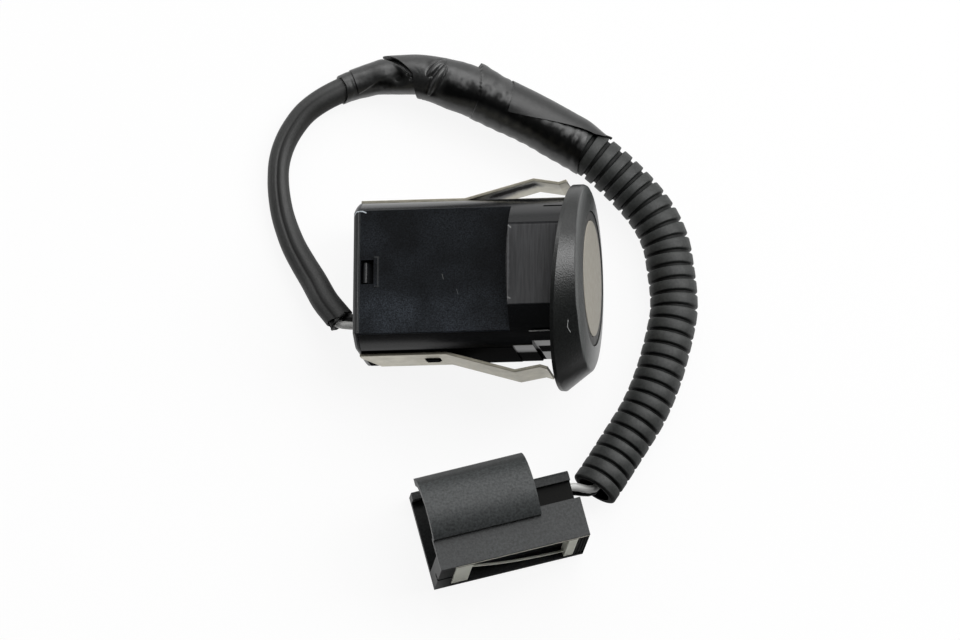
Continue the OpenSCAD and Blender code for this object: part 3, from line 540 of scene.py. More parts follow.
class Workshop:
    """Makes objects from meshes, keeps one material for each finish and fixes pieces to the root body."""

    def __init__(self) -> None:
        """Start with no materials."""
        self.materials: dict[str, bpy.types.Material] = {}

    def material(self, finish: Finish) -> bpy.types.Material:
        """The one material of a finish, made when it is first asked for."""
        if finish.name not in self.materials:
            self.materials[finish.name] = finish.material()
        return self.materials[finish.name]

    def paint(self, piece: Piece, finish: Finish) -> None:
        """Give a piece one finish."""
        piece.data.materials.clear()
        piece.data.materials.append(self.material(finish))

    def keep(self, node: str, finish: Finish) -> None:
        """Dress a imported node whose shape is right.

        Args:
            node: Name of the node.
            finish: Finish that it gets.
        """
        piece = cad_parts[node]
        if not piece.material_slots:
            piece.data.materials.append(None)
        for slot in piece.material_slots:
            slot.material = self.material(finish)
        LOG.info("dressed %s as %s", node, finish.name)

    def mesh(self, name: str, bm: Mesh, finish: Finish, sharp: float) -> Piece:
        """Make an object from a bmesh.

        Args:
            name: Name of the piece.
            bm: Its mesh, which is freed.
            finish: Finish that it gets.
            sharp: Edges bent more than this many degrees stay sharp.

        Returns:
            The new object, at the origin.
        """
        data = bpy.data.meshes.new(name)
        bm.to_mesh(data)
        bm.free()
        data.polygons.foreach_set("use_smooth", [True] * len(data.polygons))
        data.set_sharp_from_angle(angle=math.radians(sharp))
        piece = bpy.data.objects.new(name, data)
        bpy.context.collection.objects.link(piece)
        self.paint(piece, finish)
        LOG.info("made %s, %d faces, %s", name, len(data.polygons), finish.name)
        return piece

    def stand_for(self, piece: Piece, node: str) -> Piece:
        """Fix a piece to the root body in the place of a node."""
        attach(piece, "root")
        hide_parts(node)
        return piece

    def rounded(self, node: str, finish: Finish, edge: float, steps: int = 2) -> Piece:
        """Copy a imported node, merge it and round its edges.

        Args:
            node: Node that the copy stands for.
            finish: Finish of the copy.
            edge: Width of the rounding in millimetres.
            steps: Segments across the rounding.

        Returns:
            The copy, which replaces the node.
        """
        bm = bmesh.new()
        bm.from_mesh(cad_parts[node].data)
        bmesh.ops.remove_doubles(bm, verts=bm.verts, dist=0.002 * MM)
        bmesh.ops.dissolve_limit(bm, angle_limit=math.radians(0.4), verts=bm.verts, edges=bm.edges)
        piece = self.mesh(f"{node}_body", bm, finish, SHARP_BODY)
        bevel = piece.modifiers.new("rounded_edges", "BEVEL")
        bevel.width = edge * MM
        bevel.segments = steps
        bevel.limit_method = "ANGLE"
        bevel.angle_limit = math.radians(SHARP_BODY)
        bevel.harden_normals = True
        bevel.miter_outer = "MITER_ARC"
        piece.modifiers.new("flat_faces", "WEIGHTED_NORMAL").keep_sharp = True
        return self.stand_for(piece, node)


class Route:
    """Smooth way over the table through given points."""

    PARTS = 24

    def __init__(self, points: Sequence[Sequence[float]]) -> None:
        """Take the points and measure the way.

        Args:
            points: Points in millimetres.
        """
        self.points = [Vector(p) * MM for p in points]
        self.last = len(self.points) - 1
        self.lengths = [0.0]
        before = self.at(0)
        for i in range(1, self.last * self.PARTS + 1):
            here = self.at(i / self.PARTS)
            self.lengths.append(self.lengths[-1] + (here - before).length)
            before = here

    def at(self, u: float) -> Vector:
        """Point at a place, where whole numbers are the chosen points."""
        i = min(max(math.floor(u), 0), self.last - 1)
        t = u - i
        a, b = self.points[max(i - 1, 0)], self.points[i]
        c, d = self.points[i + 1], self.points[min(i + 2, self.last)]
        return 0.5 * (2 * b + (c - a) * t + (2 * a - 5 * b + 4 * c - d) * t * t + (3 * b - a - 3 * c + d) * t ** 3)

    def heading(self, u: float) -> Vector:
        """Direction of the way at a place."""
        return (self.at(min(u + 0.05, self.last)) - self.at(max(u - 0.05, 0))).normalized()

    def length_at(self, u: float) -> float:
        """Length of the way up to a place, in metres."""
        f = min(max(u, 0), self.last) * self.PARTS
        i = min(int(f), len(self.lengths) - 2)
        return self.lengths[i] + (self.lengths[i + 1] - self.lengths[i]) * (f - i)

    def place(self, length: float) -> float:
        """Place that lies a length along the way.

        Args:
            length: Length in metres.

        Returns:
            The place.
        """
        low, high = 0, len(self.lengths) - 1
        while high - low > 1:
            middle = (low + high) // 2
            low, high = (middle, high) if self.lengths[middle] <= length else (low, middle)
        span = self.lengths[high] - self.lengths[low]
        return (low + (length - self.lengths[low]) / span) / self.PARTS

    def set(self, length: float, across: float, up: float) -> Vector:
        """Point beside the way.

        Args:
            length: Length along the way in metres.
            across: Metres to the left of the way.
            up: Metres above it.

        Returns:
            The point.
        """
        u = self.place(length)
        along = self.heading(u)
        side = Vector((0, 0, 1)).cross(along).normalized()
        return self.at(u) + side * across + along.cross(side) * up


def turned(profile: Sequence[Pair], segments: int) -> Mesh:
    """Spin a closed profile into a straight tube along +Z.

    Args:
        profile: Places along the tube and radii.
        segments: Steps around.

    Returns:
        The tube.
    """
    bm = bmesh.new()
    verts = [bm.verts.new((r, 0, s)) for s, r in profile]
    edges = [bm.edges.new(pair) for pair in zip(verts, verts[1:] + verts[:1])]
    bmesh.ops.spin(bm, geom=verts + edges, cent=(0, 0, 0), axis=(0, 0, 1), angle=2 * math.pi, steps=segments,
                   use_merge=True)
    bmesh.ops.remove_doubles(bm, verts=bm.verts, dist=1e-7)
    return bm


Section = Callable[[float, float, float], tuple[float, float, float]]
# Painted light and shade on a tube, from its length, angle and radius.
PaintedLight = Callable[[float, float, float], float]


def laid(bm: Mesh, route: Route, section: Section, painted_light: PaintedLight | None = None) -> Mesh:
    """Lay a straight tube along a route.

    Args:
        bm: Tube along +Z, in metres along the route.
        route: Way that it follows.
        section: Gives the length and the offsets across and up for a length, an angle and a radius.
        painted_light: Gives the painted light and shade there, how much lighter or darker it is, from -1, with 0 for
            no change.

    Returns:
        The same mesh, bent and turned outwards.
    """
    layer = bm.verts.layers.float.new("painted_light") if painted_light else None
    for v in bm.verts:
        angle = math.degrees(math.atan2(v.co.y, v.co.x)) % 360
        place = v.co.z, angle, math.hypot(v.co.x, v.co.y)
        if painted_light:
            v[layer] = painted_light(*place)
        v.co = route.set(*section(*place))
    bmesh.ops.recalc_face_normals(bm, faces=bm.faces)
    return bm


def between(x: float, table: Sequence[Pair]) -> float:
    """Read a table of places and values.

    Args:
        x: Place to read.
        table: Places in rising order, each with its value.

    Returns:
        The value at the place, or that of the nearest end.
    """
    for (a, low), (b, high) in zip(table, table[1:]):
        if x <= b:
            return low + (high - low) * max(0.0, x - a) / (b - a)
    return table[-1][1]


def rough(s: float, angle: float, size: float, seed: float) -> float:
    """Soft noise around a tube.

    Args:
        s: Length along it in metres.
        angle: Angle around it in degrees.
        size: Size of the blots in millimetres.
        seed: Number that sets the pattern.

    Returns:
        Noise from about -1 to 1.
    """
    across, up = around(angle)
    reach = 2.6 / size
    return noise.noise(Vector((s / MM / size, reach * across + seed, reach * up)))


def crease(t: float, angle: float, ends: tuple[Pair, Pair], half: float, radius: float) -> Pair:
    """Place of a point beside a pinched fold.

    Args:
        t: Length along the tube in millimetres.
        angle: Angle around it in degrees.
        ends: The fold's two ends, as lengths and angles.
        half: Half-width at the fold's middle.
        radius: Radius of the tube.

    Returns:
        Distance beside the fold in half-widths, and a share that fades at the fold's ends.
    """
    arc = math.radians(1) * radius
    a, b = Vector((ends[0][0], ends[0][1] * arc)), Vector((ends[1][0], ends[1][1] * arc))
    run, here = b - a, Vector((t, angle * arc)) - a
    u = here.dot(run) / run.length_squared
    if not 0 < u < 1:
        return 9.0, 0.0
    beside = (run.x * here.y - run.y * here.x) / run.length
    lens = math.sqrt(4 * u * (1 - u))
    return beside / (half * (0.3 + 0.7 * lens)), lens


def step(x: float, low: float, high: float) -> float:
    """Smooth step from 0 at low to 1 at high."""
    t = min(1.0, max(0.0, (x - low) / (high - low)))
    return t * t * (3 - 2 * t)


def hump(x: float, middle: float, half: float) -> float:
    """Smooth hump of height 1 around a middle."""
    return math.exp(-((x - middle) / half) ** 2)


class Side(Enum):
    """Which of the two wires, and the side it leaves the cap on."""

    GREY = 1
    BLACK = -1


LEAD = [
    (-18.1, -3.8, 5.1), (-19, -2.6, 4.6), (-20.35, -0.68, 3.9), (-21.75, 2.12, 3), (-23.15, 4.62, 2.4),
    (-24.35, 6.92, 2), (-25.25, 9.22, 1.7), (-25.95, 11.52, 1.5), (-26.4, 13.9, 1.5), (-26.6, 16.2, 1.5),
    (-26.5, 18.6, 1.5), (-25.9, 21, 1.5), (-24.8, 23.3, 1.6), (-23.1, 25.6, 1.8), (-20.8, 27.4, 2.1),
    (-18, 28.9, 2.3), (-15.4, 29.9, 2.4), (-12.9, 30.6, 2.7), (-10.4, 30.8, 3), (-7.8, 30.7, 3.4),
    (-5.1, 30.1, 3.7), (-2.4, 29.3, 3.8), (0.3, 28.4, 3.8), (2.9, 27.2, 3.8), (5.7, 25.9, 3.8),
    (8.5, 24.5, 3.8), (11.2, 23, 3.8), (14, 21.45, 3.8), (16.5, 19.75, 3.7), (18.8, 17.85, 3.5),
    (20.9, 15.85, 3.3), (22.9, 13.55, 3.3), (24.5, 11.05, 3.3), (25.6, 8.25, 3.3), (26.12, 5.2, 3.3),
    (26.52, 2.3, 3.3), (26.62, -0.7, 3.3), (26.15, -3.6, 3.3), (25.5, -6.5, 3.3), (24.72, -9.35, 3.3),
    (23.7, -12.22, 3.3), (22.5, -14.92, 3.3), (21, -17.52, 3.3), (19.45, -20.1, 3.3), (17.8, -22.85, 3.5),
    (16.05, -25.6, 3.7),
]
HARNESS_RADII = ((-2.8, 2.82), (0, 2.84), (2, 2.92), (4.7, 3.16), (7, 3.36), (10, 3.4), (24, 3.42), (28, 3.38))


@dataclass
class Lead:
    """The two wires, their sleeve, the tape wraps and the corrugated conduit."""

    shop: Workshop
    pose: Pose
    wire_d: float = 1.1
    pair_half: float = 0.64
    exit_y: float = 5.0
    inside: tuple[float, ...] = (-18.9, -23.8, -28.0)
    contact: Colour = (8.2, 2.6, 3.4)
    contact_k: tuple[float, ...] = (21.1, 19.0, 17.4)
    quarter_turn: Pair = (26, 40)
    sleeve_end: float = 18
    small_tape: Pair = (14.6, 19.2)
    large_tape: Pair = (18.2, 27.4)
    conduit_start: float = 20.4
    crest: float = 3.2
    root: float = 2.7
    bore: float = 2.3
    pitch: float = 1.68
    stride: float = 1.85
    route: Route = field(default_factory=lambda: Route(LEAD))

    def build(self, plug: list[Piece]) -> None:
        """Make all pieces of the lead, its two wires among them.

        Args:
            plug: Pieces of the connector that both wires end in; not used.
        """
        covers = [self.sleeve(), self.joint_tape(), self.harness_tape(), self.conduit()]
        self.declare(self.wire(Side.GREY, WIRE_GREY), Side.GREY)
        self.declare(self.wire(Side.BLACK, WIRE_BLACK), Side.BLACK)

    def wire_route(self, side: Side) -> Route:
        """Way of one wire, from the board to its contact, with a quarter turn in the conduit.

        Args:
            side: Which wire.

        Returns:
            The wire's own route.
        """
        points = [self.pose.sensor(x, -side.value * self.pair_half - self.exit_y, 0) for x in self.inside]
        for u in range(len(LEAD)):
            along = self.route.heading(u)
            left = Vector((0, 0, 1)).cross(along).normalized()
            share = (u - self.quarter_turn[0]) / (self.quarter_turn[1] - self.quarter_turn[0])
            turn = math.pi / 2 * min(1.0, max(0.0, share))
            off = math.cos(turn) * left + math.sin(turn) * along.cross(left)
            points.append(Vector(LEAD[u]) + side.value * self.pair_half * off)
        middle, apart, height = self.contact
        points += [self.pose.plug(k, middle, height + side.value * apart / 2) for k in self.contact_k]
        return Route(points)

    def wire(self, side: Side, finish: Finish) -> Piece:
        """One wire as a round curve.

        Args:
            side: Which wire.
            finish: Its finish.

        Returns:
            The wire.
        """
        route = self.wire_route(side)
        name = f"wire_{side.name.lower()}"
        curve = bpy.data.curves.new(name, "CURVE")
        curve.dimensions = "3D"
        curve.bevel_depth = self.wire_d / 2 * MM
        curve.bevel_resolution = 4
        curve.use_fill_caps = True
        spline = curve.splines.new("POLY")
        places = [i / 4 for i in range(route.last * 4 + 1)]
        spline.points.add(len(places) - 1)
        for point, u in zip(spline.points, places):
            point.co = (*route.at(u), 1)
        spline.use_smooth = True
        piece = bpy.data.objects.new(name, curve)
        bpy.context.collection.objects.link(piece)
        self.shop.paint(piece, finish)
        LOG.info("made %s, %.1f mm long", name, route.lengths[-1] / MM)
        return self.shop.stand_for(piece, f"lead_{name}")

    def declare(self, piece: Piece, side: Side) -> None:
        """Work out where one wire starts and how long it is, and do nothing more with them.

        Args:
            piece: The wire; not used.
            side: Which wire.
        """
        start = self.pose.sensor(self.inside[-1], -side.value * self.pair_half - self.exit_y, 0) * MM
        length = self.wire_route(side).lengths[-1]

    def span(self, u0: float, u1: float, count: int) -> list[float]:
        """Lengths along the lead between two places.

        Args:
            u0: First place.
            u1: Last place.
            count: Number of steps.

        Returns:
            Evenly spaced lengths in metres.
        """
        a, b = self.route.length_at(u0), self.route.length_at(u1)
        return [a + (b - a) * i / count for i in range(count + 1)]

    def stand_in(self, name: str, node: str, bm: Mesh, finish: Finish) -> Piece:
        """Make a piece that stands for one node of the lead.

        Args:
            name: Name of the piece.
            node: Node that it replaces.
            bm: Its mesh.
            finish: Its finish.

        Returns:
            The piece.
        """
        return self.shop.stand_for(self.shop.mesh(name, bm, finish, SHARP_SOFT), node)

    def sleeve(self) -> Piece:
        """Soft flattened tube with one lengthwise crease and an open end."""
        rings = self.span(0, self.sleeve_end, 150)
        wall = 0.25 * MM
        profile = [(s, 1.0) for s in rings] + [(s, 0.75) for s in reversed(rings)]
        total = rings[-1]
        crease_at = ((0, 0.32), (0.2, 0.26), (0.5, 0.14), (0.8, 0.2), (1, 0.2))
        crease_fade = ((0, 1), (0.55, 1), (0.85, 0.1), (1, 0))

        # Painted light and shade: a dark painted shade line in the crease, a painted highlight on the lobe on the
        # higher-x side, and painted shade on the lobe on the lower-x side and along the edge where x is near -1.
        def painted_light(s: float, angle: float, r: float) -> float:
            share, x = s / total, around(angle)[0]
            middle = between(share, crease_at)
            line = -0.6 * hump(x, middle, 0.1) * between(share, crease_fade)
            lobes = 0.26 * hump(x, middle + 0.4, 0.25) - 0.14 * hump(x, middle - 0.5, 0.35)
            return line + lobes - 0.45 * step(-x, 0.75, 0.95)

        def section(s: float, angle: float, r: float) -> tuple[float, float, float]:
            share = s / total
            ends = abs(share - 0.5) * 2
            x, y = around(angle)
            half = (1.42 + 0.4 * ends + 0.12 * hump(share, 0.15, 0.2)) * MM
            high = (1.42 - 0.1 * ends) * MM
            middle = between(share, crease_at)
            dent = 0.09 * hump(x, middle, 0.2) * between(share, crease_fade)
            up = high * (y - dent * max(y, 0) ** 0.5 * (1 - 0.5 * hump(share, 0, 0.1)))
            slant = 0.9 * MM * x * (1 - step(s / MM, 0, 4))
            if r < 0.9:
                return s + slant, (half - wall) * x, up - wall * y
            return s + slant, half * x, up

        bm = laid(turned(profile, 96), self.route, section, painted_light)
        return self.stand_in("sleeve", "lead_sleeve", bm, SLEEVE_BLACK)

    def joint_tape(self) -> Piece:
        """Small wrap that binds the sleeve's end and widens into the large one."""
        u0, u1 = self.small_tape
        rings = self.span(u0, u1, 130)
        profile = [(s, 1.0) for s in rings] + [(s, 0.8) for s in reversed(rings[::3])]
        start = rings[0]
        begins = ((0, 1.2), (32, 1.4), (94, 1.55), (140, 1.2), (183, 0.43), (250, 0.3), (320, 0.9), (360, 1.2))
        cover = ((0, 7.1), (32, 8.0), (71, 9.9), (96, 11.0), (143, 11.4), (360, 11.4))
        radii = ((0, 1.86), (3, 2.0), (5.6, 2.18), (7.2, 2.42), (9.5, 2.5), (12.4, 2.5))
        aside = ((0, 0.06), (2.7, 0.06), (5.6, 0.03), (7.3, 0), (12.4, 0))

        # Painted light and shade: a painted highlight on the upper side, a painted pale reflection along the side at
        # 150 to 200 degrees, painted shade in the pocket before the large wrap and along the lap line, and a darker
        # patch with noise near 6.8 mm at 128 degrees.
        def painted_light(s: float, angle: float, r: float) -> float:
            t = (s - start) / MM
            blot = 1.1 * hump(t, 6.8, 2.4) * hump(angle, 128, 17) + 0.45 * rough(s, angle, 0.7, 5.0)
            pocket = hump(t, 9.4, 0.8) * hump(angle, 98, 24)
            shifted = t + between(angle, begins) * (1 - step(t, 0, 3.2))
            line = hump(shifted, 2.76, 0.08) * (1 - step(angle, 140, 150))
            dark = max(0.72 * step(blot, 0.3, 1.0), 0.8 * pocket, 0.8 * line)
            pale = step(angle, 150, 166) * (1 - step(angle, 188, 200))
            return 0.4 * hump(angle, 62, 34) + 0.8 * pale - 1.1 * dark

        def section(s: float, angle: float, r: float) -> tuple[float, float, float]:
            t = (s - start) / MM
            t += between(angle, begins) * (1 - step(t, 0, 3.2))
            radius = between(t, radii)
            if r > 0.9:
                lower = 143 - (t - 2.87) * 9.65
                radius += 0.11 * step(t, 2.72, 2.8) * (1 - step(angle, lower - 2, lower + 2)) * (1 - step(t, 6.5, 8))
                radius -= 0.16 * hump(t, 5.6, 1.6) * hump(angle, 142, 18)
                across, fade = crease(t, angle, ((8.3, 60), (11, 114)), 0.2, 2.4)
                radius += 0.3 * hump(across, 0, 1) * fade
                radius -= 0.42 * hump(t, 9.0, 0.75) * hump(angle, 112, 20)
                radius += 0.05 * rough(s, angle, 1.5, 3.0)
                radius -= 0.55 * step(t - between(angle, cover), -0.75, -0.45) * (1 - step(angle, 95, 125))
            else:
                radius -= 0.3
            x, y = around(angle)
            return start + t * MM, (radius * x + between(t, aside)) * MM, radius * y * 0.97 * MM

        bm = laid(turned(profile, 120), self.route, section, painted_light)
        return self.stand_in("joint_tape_wrap", "joint_tape", bm, TAPE_BLACK)

    def harness_radius(self, t: float) -> float:
        """Plain radius of the large wrap in millimetres, at a length from its start."""
        return between(t, HARNESS_RADII)

    def harness_tape(self) -> Piece:
        """Large wrap over the conduit's start, with pinched folds, one lapped edge and a loose end."""
        u0, u1 = self.large_tape
        start, end = self.route.length_at(u0), self.route.length_at(u1)
        length = (end - start) / MM
        places = [0.09 * i for i in range(67)]
        places += [6 + (length - 6) * i / 130 for i in range(1, 131)]
        profile = [(start + t * MM, 1.0) for t in places] + [(start + t * MM, 0.8) for t in reversed(places[::5])]
        begins = ((0, -2.6), (32, -1.7), (71, 0.2), (96, 1.31), (143, 1.67), (194, 2.2), (270, 0.8), (330, -2.2),
                  (360, -2.6))
        ends = ((0, -2.2), (62, -1.5), (128, -0.6), (173, 0.3), (260, 0.2), (360, -2.2))
        lap = ((0, 9.1), (15, 9.2), (65, 9.76), (106, 10.5), (145, 10.66), (260, 10), (360, 9.1))
        front = ((0, 13.55), (14, 13.7), (72, 14.6), (112, 14.96), (360, 13.55))
        leaves = ((((3.3, 101), (4.8, 40)), 0.34, 0.26), (((3.95, 152), (5.05, 60)), 0.34, 0.3))
        under = ((5, 92), (9, 90), (14, 90), (20, 93), (28, 96))
        over = ((5, 141), (9, 130), (13, 123), (20, 131), (28, 136))

        # Painted light and shade: a painted highlight on the upper side, a faint painted pale reflection lower down,
        # and painted shade in a band below the upper side, round the pouch, in a pocket and in a wedge under the
        # lapped edge.
        def painted_light(s: float, angle: float, r: float) -> float:
            t = (s - start) / MM
            low = between(t, over)
            first = between(t, under) + 20 * rough(s, angle, 1.3, 11.0) + 16 * rough(s, angle, 0.5, 8.0)
            band = step(angle, first - 10, first + 12) * (1 - step(angle, low - 8, low + 8)) * step(t, 4.6, 6.2)
            pouch = hump(angle, 146, 9) * (1 - step(t, 4.6, 5.6))
            pocket = hump(t, 3.3, 0.5) * hump(angle, 70, 18)
            wedge = hump(t - between(angle, lap), -0.35, 0.3) * hump(angle, 8, 22)
            pale = step(angle, low + 4, low + 16) * (1 - step(angle, 186, 200)) * step(t, 2, 5)
            light = 0.25 * hump(angle, 62, 30) * (1 + rough(s, angle, 1.2, 4.0))
            return 1.3 * light + 0.15 * pale - 0.8 * max(band, pouch, pocket, wedge)

        def section(s: float, angle: float, r: float) -> tuple[float, float, float]:
            t = (s - start) / MM
            t += between(angle, begins) * (1 - step(t, 0, 3.6)) + between(angle, ends) * step(t, length - 4, length)
            radius = self.harness_radius(t)
            if r > 0.9:
                edge = t - between(angle, lap)
                radius += 0.14 * step(edge, 0, 0.07) * (1 - step(edge, 2, 8))
                radius += 0.48 * hump(angle, 4, 32) * step(edge, 0, 0.07) * (1 - step(edge, 0.1, 2.8))
                radius -= 0.08 * hump(t - between(angle, front), -0.12, 0.09) * (1 - step(angle, 105, 115))
                for line, half, height in leaves:
                    across, fade = crease(t, angle, line, half, 3.0)
                    radius += height * fade * (hump(across, 0, 1) - 0.8 * hump(abs(across), 1.7, 0.5))
                radius += 0.05 * rough(s, angle, 2.2, 1.0) + 0.02 * rough(s, angle, 0.7, 2.0)
                radius += 0.035 * math.cos(2 * math.pi * s / (self.pitch * MM)) * step(t, 7, 12)
            else:
                radius -= 0.24
            x, y = around(angle)
            return start + t * MM, radius * x * MM, radius * y * MM

        bm = laid(turned(profile, 168), self.route, section, painted_light)
        self.loose_end(bm, start)
        return self.stand_in("harness_tape_wrap", "harness_tape", bm, TAPE_BLACK)

    def loose_end(self, bm: Mesh, start: float) -> None:
        """Add the tape's tapered loose end, which lies over the wrap and lifts off at its tip.

        Args:
            bm: Mesh of the large wrap that gets it.
            start: Length of the wrap's start in metres.
        """
        front = ((-70, 12.8), (14, 13.7), (72, 14.6), (112, 14.96))
        low = ((14.5, 112), (17.9, 99), (22.7, 76), (25.1, 67), (26.5, 61), (27.6, 46), (28.4, 16))
        high = ((13, -70), (20, -55), (25, -25), (28.4, 9.5))
        tip, columns, rows, thick = 28.4, 56, 20, 0.1
        sheet = bmesh.new()
        grid = []
        for i in range(columns + 1):
            share = i / columns
            about = 14.2 + (tip - 14.2) * share
            line = []
            for k in range(rows + 1):
                angle = between(about, high) + (between(about, low) - between(about, high)) * k / rows
                t = between(angle, front) * (1 - share) + tip * share
                lift = 0.06 + thick + 0.3 * step(t, 18, 27) * step(k / rows, 0.2, 1)
                lift += 0.02 * rough(t * MM, angle, 2, 7.0) - 0.36 * step(t, 24.5, tip)
                radius = (self.harness_radius(t) + lift) * MM
                x, y = around(angle)
                line.append(sheet.verts.new(self.route.set(start + t * MM, radius * x, radius * y)))
            grid.append(line)
        for first, second in zip(grid, grid[1:]):
            for k in range(rows):
                sheet.faces.new((first[k], second[k], second[k + 1], first[k + 1]))
        bmesh.ops.recalc_face_normals(sheet, faces=sheet.faces)
        bmesh.ops.solidify(sheet, geom=sheet.faces[:], thickness=thick * MM)
        bmesh.ops.recalc_face_normals(sheet, faces=sheet.faces)
        data = bpy.data.meshes.new("loose_end")
        sheet.to_mesh(data)
        sheet.free()
        bm.from_mesh(data)
        bpy.data.meshes.remove(data)

    def conduit(self) -> Piece:
        """Corrugated conduit with rounded ribs and an open mouth."""
        start, end = self.route.length_at(self.conduit_start), self.route.length_at(self.route.last)
        count = round((end - start) / (self.stride * MM))
        one = (end - start) / count
        low, high = self.root * MM, self.crest * MM
        edge = ((0, low), (0.025, low + 0.05 * MM), (0.06, high - 0.1 * MM), (0.085, high - 0.03 * MM), (0.13, high))
        profile = []
        for i in range(count):
            gap = 0.21 - 0.09 * i / count
            profile += [(start + i * one, low)] + [(start + (i + gap + p) * one, r) for p, r in edge]
            profile += [(start + (i + 1 - p) * one, r) for p, r in reversed(edge[1:])]
        profile += [(end, low), (end, self.bore * MM)]
        profile += [(end - (end - start) * i / 40, self.bore * MM) for i in range(1, 41)]

        def section(s: float, angle: float, r: float) -> tuple[float, float, float]:
            x, y = around(angle)
            return s, r * x, r * y

        # Painted shade in the roots between the ribs.
        def painted_light(s: float, angle: float, r: float) -> float:
            return -0.6 * (1 - step(r, low, high))

        bm = laid(turned(profile, 56), self.route, section, painted_light)
        return self.stand_in("conduit_tube", "conduit", bm, CONDUIT_BLACK)


@dataclass
class Head:
    """The sensor's own body: housing, cap, bezel, face and spring clips."""

    shop: Workshop

    def build(self) -> None:
        """Round the edges of the outer pieces and dress the inner ones."""
        self.shop.rounded("housing", HOUSING_BLACK, 0.16)
        self.shop.rounded("rear_cap", CAP_BLACK, 0.16)
        self.shop.rounded("bezel_ring", BEZEL_BLACK, 0.2, 3)
        self.shop.rounded("transducer_cup", FACE_TAUPE, 0.12)
        self.shop.rounded("decoupling_ring", RING_BLACK, 0.1)
        self.shop.rounded("spring_clip_left", SPRING_STEEL, 0.06)
        self.shop.rounded("spring_clip_right", SPRING_STEEL, 0.06)
        inner = {"piezo_disc": PIEZO_CERAMIC, "damping_pad": PAD_FOAM, "transducer_base": BASE_PLASTIC,
                 "transducer_leads": LEAD_COPPER, "circuit_board": BOARD_GREEN, "coil_core": CORE_FERRITE,
                 "coil_winding": LEAD_COPPER, "capacitor": CAPACITOR_RED, "chip_resistors": CHIP_BLACK,
                 "sealing_compound": SEAL_GREY, "lead_grommet": GROMMET_BLACK}
        for node, finish in inner.items():
            self.shop.keep(node, finish)


@dataclass
class Plug:
    """The connector at the lead's end."""

    shop: Workshop

    def build(self) -> list[Piece]:
        """Round the connector's edges and dress its retainer and contacts.

        Returns:
            Its pieces.
        """
        shell = self.shop.rounded("connector_housing", PLUG_BLACK, 0.2, 3)
        retainer = self.shop.rounded("terminal_retainer", RETAINER_GREY, 0.08)
        self.shop.keep("connector_contacts", CONTACT_BRASS)
        return [shell, retainer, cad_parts["connector_contacts"]]


LAMPS = (("key", (0.28, 0.3, 0.91), 0.7, 0.7, 4.6), ("front", (0.75, 0.25, 0.62), 0.5, 0.5, 4.2),
         ("far", (-0.05, 0.8, 0.6), 0.9, 0.4, 2.4), ("fill", (-0.8, 0.3, 0.42), 0.5, 0.4, 0.8))


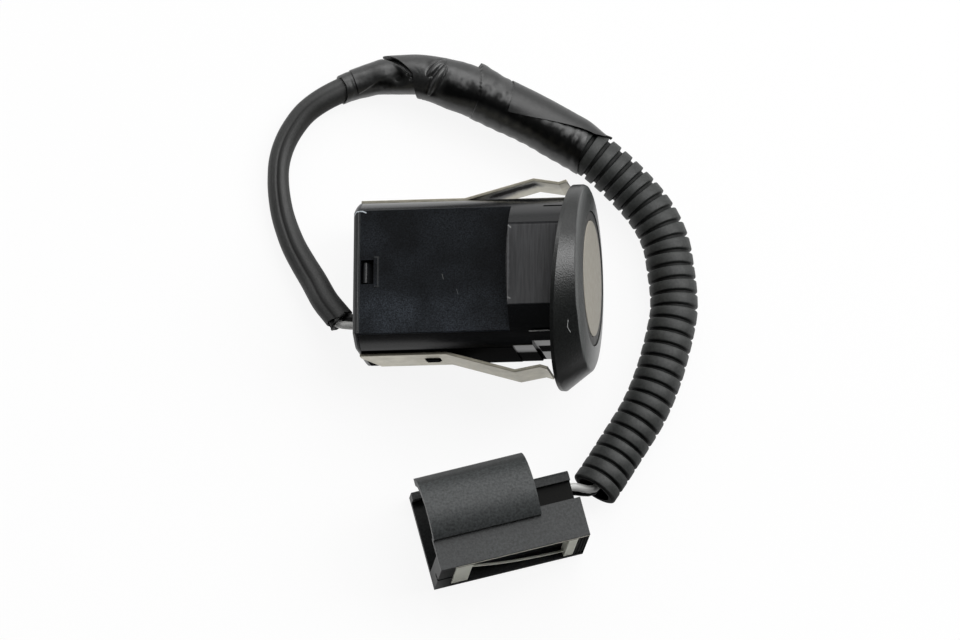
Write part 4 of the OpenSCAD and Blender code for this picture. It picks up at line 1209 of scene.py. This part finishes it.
@dataclass
class Studio:
    """Pale floor, soft lights and the camera."""

    face: Colour = (14.7232, 0.8487, 14.1887)
    back: Colour = (-0.079279, -0.238, 0.968024)
    right: Colour = (0.996403, 0.010227, 0.084118)
    up: Colour = (-0.02992, 0.971211, 0.236333)
    offset: Pair = (-15.04, -5.53)
    distance: float = 2.4
    width_mm: float = 128.0

    def build(self) -> None:
        """Make the floor, the world, the lights and the camera."""
        bpy.context.scene.view_settings.view_transform = "Standard"
        self.camera()
        self.floor()
        self.world()
        for lamp in LAMPS:
            self.lamp(*lamp)

    def camera(self) -> None:
        """Long lens at the photograph's angle, for a frame of 960 by 640."""
        right, up, back = Vector(self.right), Vector(self.up), Vector(self.back)
        target = (Vector(self.face) + right * self.offset[0] + up * self.offset[1]) * MM
        data = bpy.data.cameras.new("camera")
        data.sensor_width = 36
        data.sensor_fit = "HORIZONTAL"
        data.lens = 36 * self.distance / (self.width_mm * MM)
        data.clip_start = 0.01
        piece = bpy.data.objects.new("camera", data)
        turn = Matrix((right, up, back)).transposed().to_4x4()
        piece.matrix_world = Matrix.Translation(target + back * self.distance) @ turn
        bpy.context.collection.objects.link(piece)
        bpy.context.scene.camera = piece

    def floor(self) -> None:
        """Wide pale floor just below the table's height, which keeps the shadow."""
        bm = bmesh.new()
        bmesh.ops.create_grid(bm, x_segments=8, y_segments=8, size=3.0)
        bmesh.ops.translate(bm, vec=(0, 0, -0.03 * MM), verts=bm.verts)
        data = bpy.data.meshes.new("floor")
        bm.to_mesh(data)
        bm.free()
        data.materials.append(self.paper())
        piece = bpy.data.objects.new("floor", data)
        bpy.context.collection.objects.link(piece)

    def paper(self) -> bpy.types.Material:
        """Pale paper that the camera sees near white, and that reflections see dark far off and in front of the
        object, as painted shade, with a lit patch beside the connector.
        """
        sketch = Sketch("floor_pale")
        sketch.shader.inputs["Roughness"].default_value = 0.9
        sketch.shader.inputs["Specular IOR Level"].default_value = 0.1
        path = sketch.add("ShaderNodeLightPath").outputs
        seen = sketch.math("MAXIMUM", path["Is Camera Ray"], path["Is Transmission Ray"])
        x, y = sketch.add("ShaderNodeSeparateXYZ", {0: sketch.place}).outputs[:2]
        # Painted shade for reflections only: the floor turns dark in front of the object and far off, with a painted
        # lit patch beside the connector.
        lit_patch_by_plug = sketch.product(sketch.ramp(x, (-0.026, -0.02), (0, 1)), sketch.ramp(x, (-0.008, -0.002), (1, 0)),
                                     sketch.ramp(y, (-0.075, -0.045), (0, 1)))
        lit_in_reflections = sketch.math("MAXIMUM", sketch.ramp(y, (-0.032, -0.01), (0.05, 1)), lit_patch_by_plug)
        away = sketch.vector("DISTANCE", sketch.place, (0, 0, 0))
        sheet = sketch.product(sketch.ramp(away, (0.08, 0.3), (1, 0.25)), lit_in_reflections)
        reflected_shade = sketch.product(path["Is Glossy Ray"], sketch.math("SUBTRACT", 1.0, sheet))
        sketch.feed("Base Color", sketch.mix(reflected_shade, (0.86, 0.86, 0.86), (0.03, 0.03, 0.03)))
        mirrored = sketch.product(path["Is Glossy Ray"], sheet, 0.85)
        share = sketch.math("MAXIMUM", sketch.product(seen, 0.9), mirrored)
        glow = sketch.add("ShaderNodeEmission", {"Color": (1, 1, 1, 1), "Strength": 1.0})
        mix = sketch.add("ShaderNodeMixShader", {0: share, 1: sketch.shader.outputs[0], 2: glow.outputs[0]})
        sketch.tree.links.new(mix.outputs[0], sketch.tree.nodes["Material Output"].inputs["Surface"])
        return sketch.material

    def world(self) -> None:
        """Dim light from all round, brighter from the far side than from above."""
        world = bpy.data.worlds.new("studio")
        world.use_nodes = True
        nodes, links = world.node_tree.nodes, world.node_tree.links
        place = nodes.new("ShaderNodeTexCoord")
        toward = nodes.new("ShaderNodeVectorMath")
        toward.operation = "DOT_PRODUCT"
        toward.inputs[1].default_value = (0.25, 0.9, 0.35)
        links.new(place.outputs["Generated"], toward.inputs[0])
        level = nodes.new("ShaderNodeMapRange")
        for i, value in ((1, 0.2), (3, 0.05), (4, 1.05)):
            level.inputs[i].default_value = value
        links.new(toward.outputs["Value"], level.inputs[0])
        links.new(level.outputs[0], nodes["Background"].inputs["Strength"])
        nodes["Background"].inputs["Color"].default_value = (1.0, 1.0, 1.0, 1)
        bpy.context.scene.world = world

    def lamp(self, name: str, at: Colour, wide: float, tall: float, power: float) -> None:
        """One soft box that faces the object.

        Args:
            name: Its name.
            at: Its place in metres.
            wide: Its width in metres.
            tall: Its height in metres.
            power: Its power in watts.
        """
        data = bpy.data.lights.new(name, "AREA")
        data.shape = "RECTANGLE"
        data.size = wide
        data.size_y = tall
        data.energy = power
        piece = bpy.data.objects.new(name, data)
        piece.matrix_world = Matrix.Translation(at) @ Vector(at).to_track_quat("Z", "Y").to_matrix().to_4x4()
        bpy.context.collection.objects.link(piece)


def main() -> None:
    """Build the studio and each sub-assembly."""
    logging.basicConfig(level=logging.INFO, format="%(message)s")
    shop = Workshop()
    Studio().build()
    Head(shop).build()
    Lead(shop, Pose()).build(Plug(shop).build())


if __name__ == "__main__":
    main()
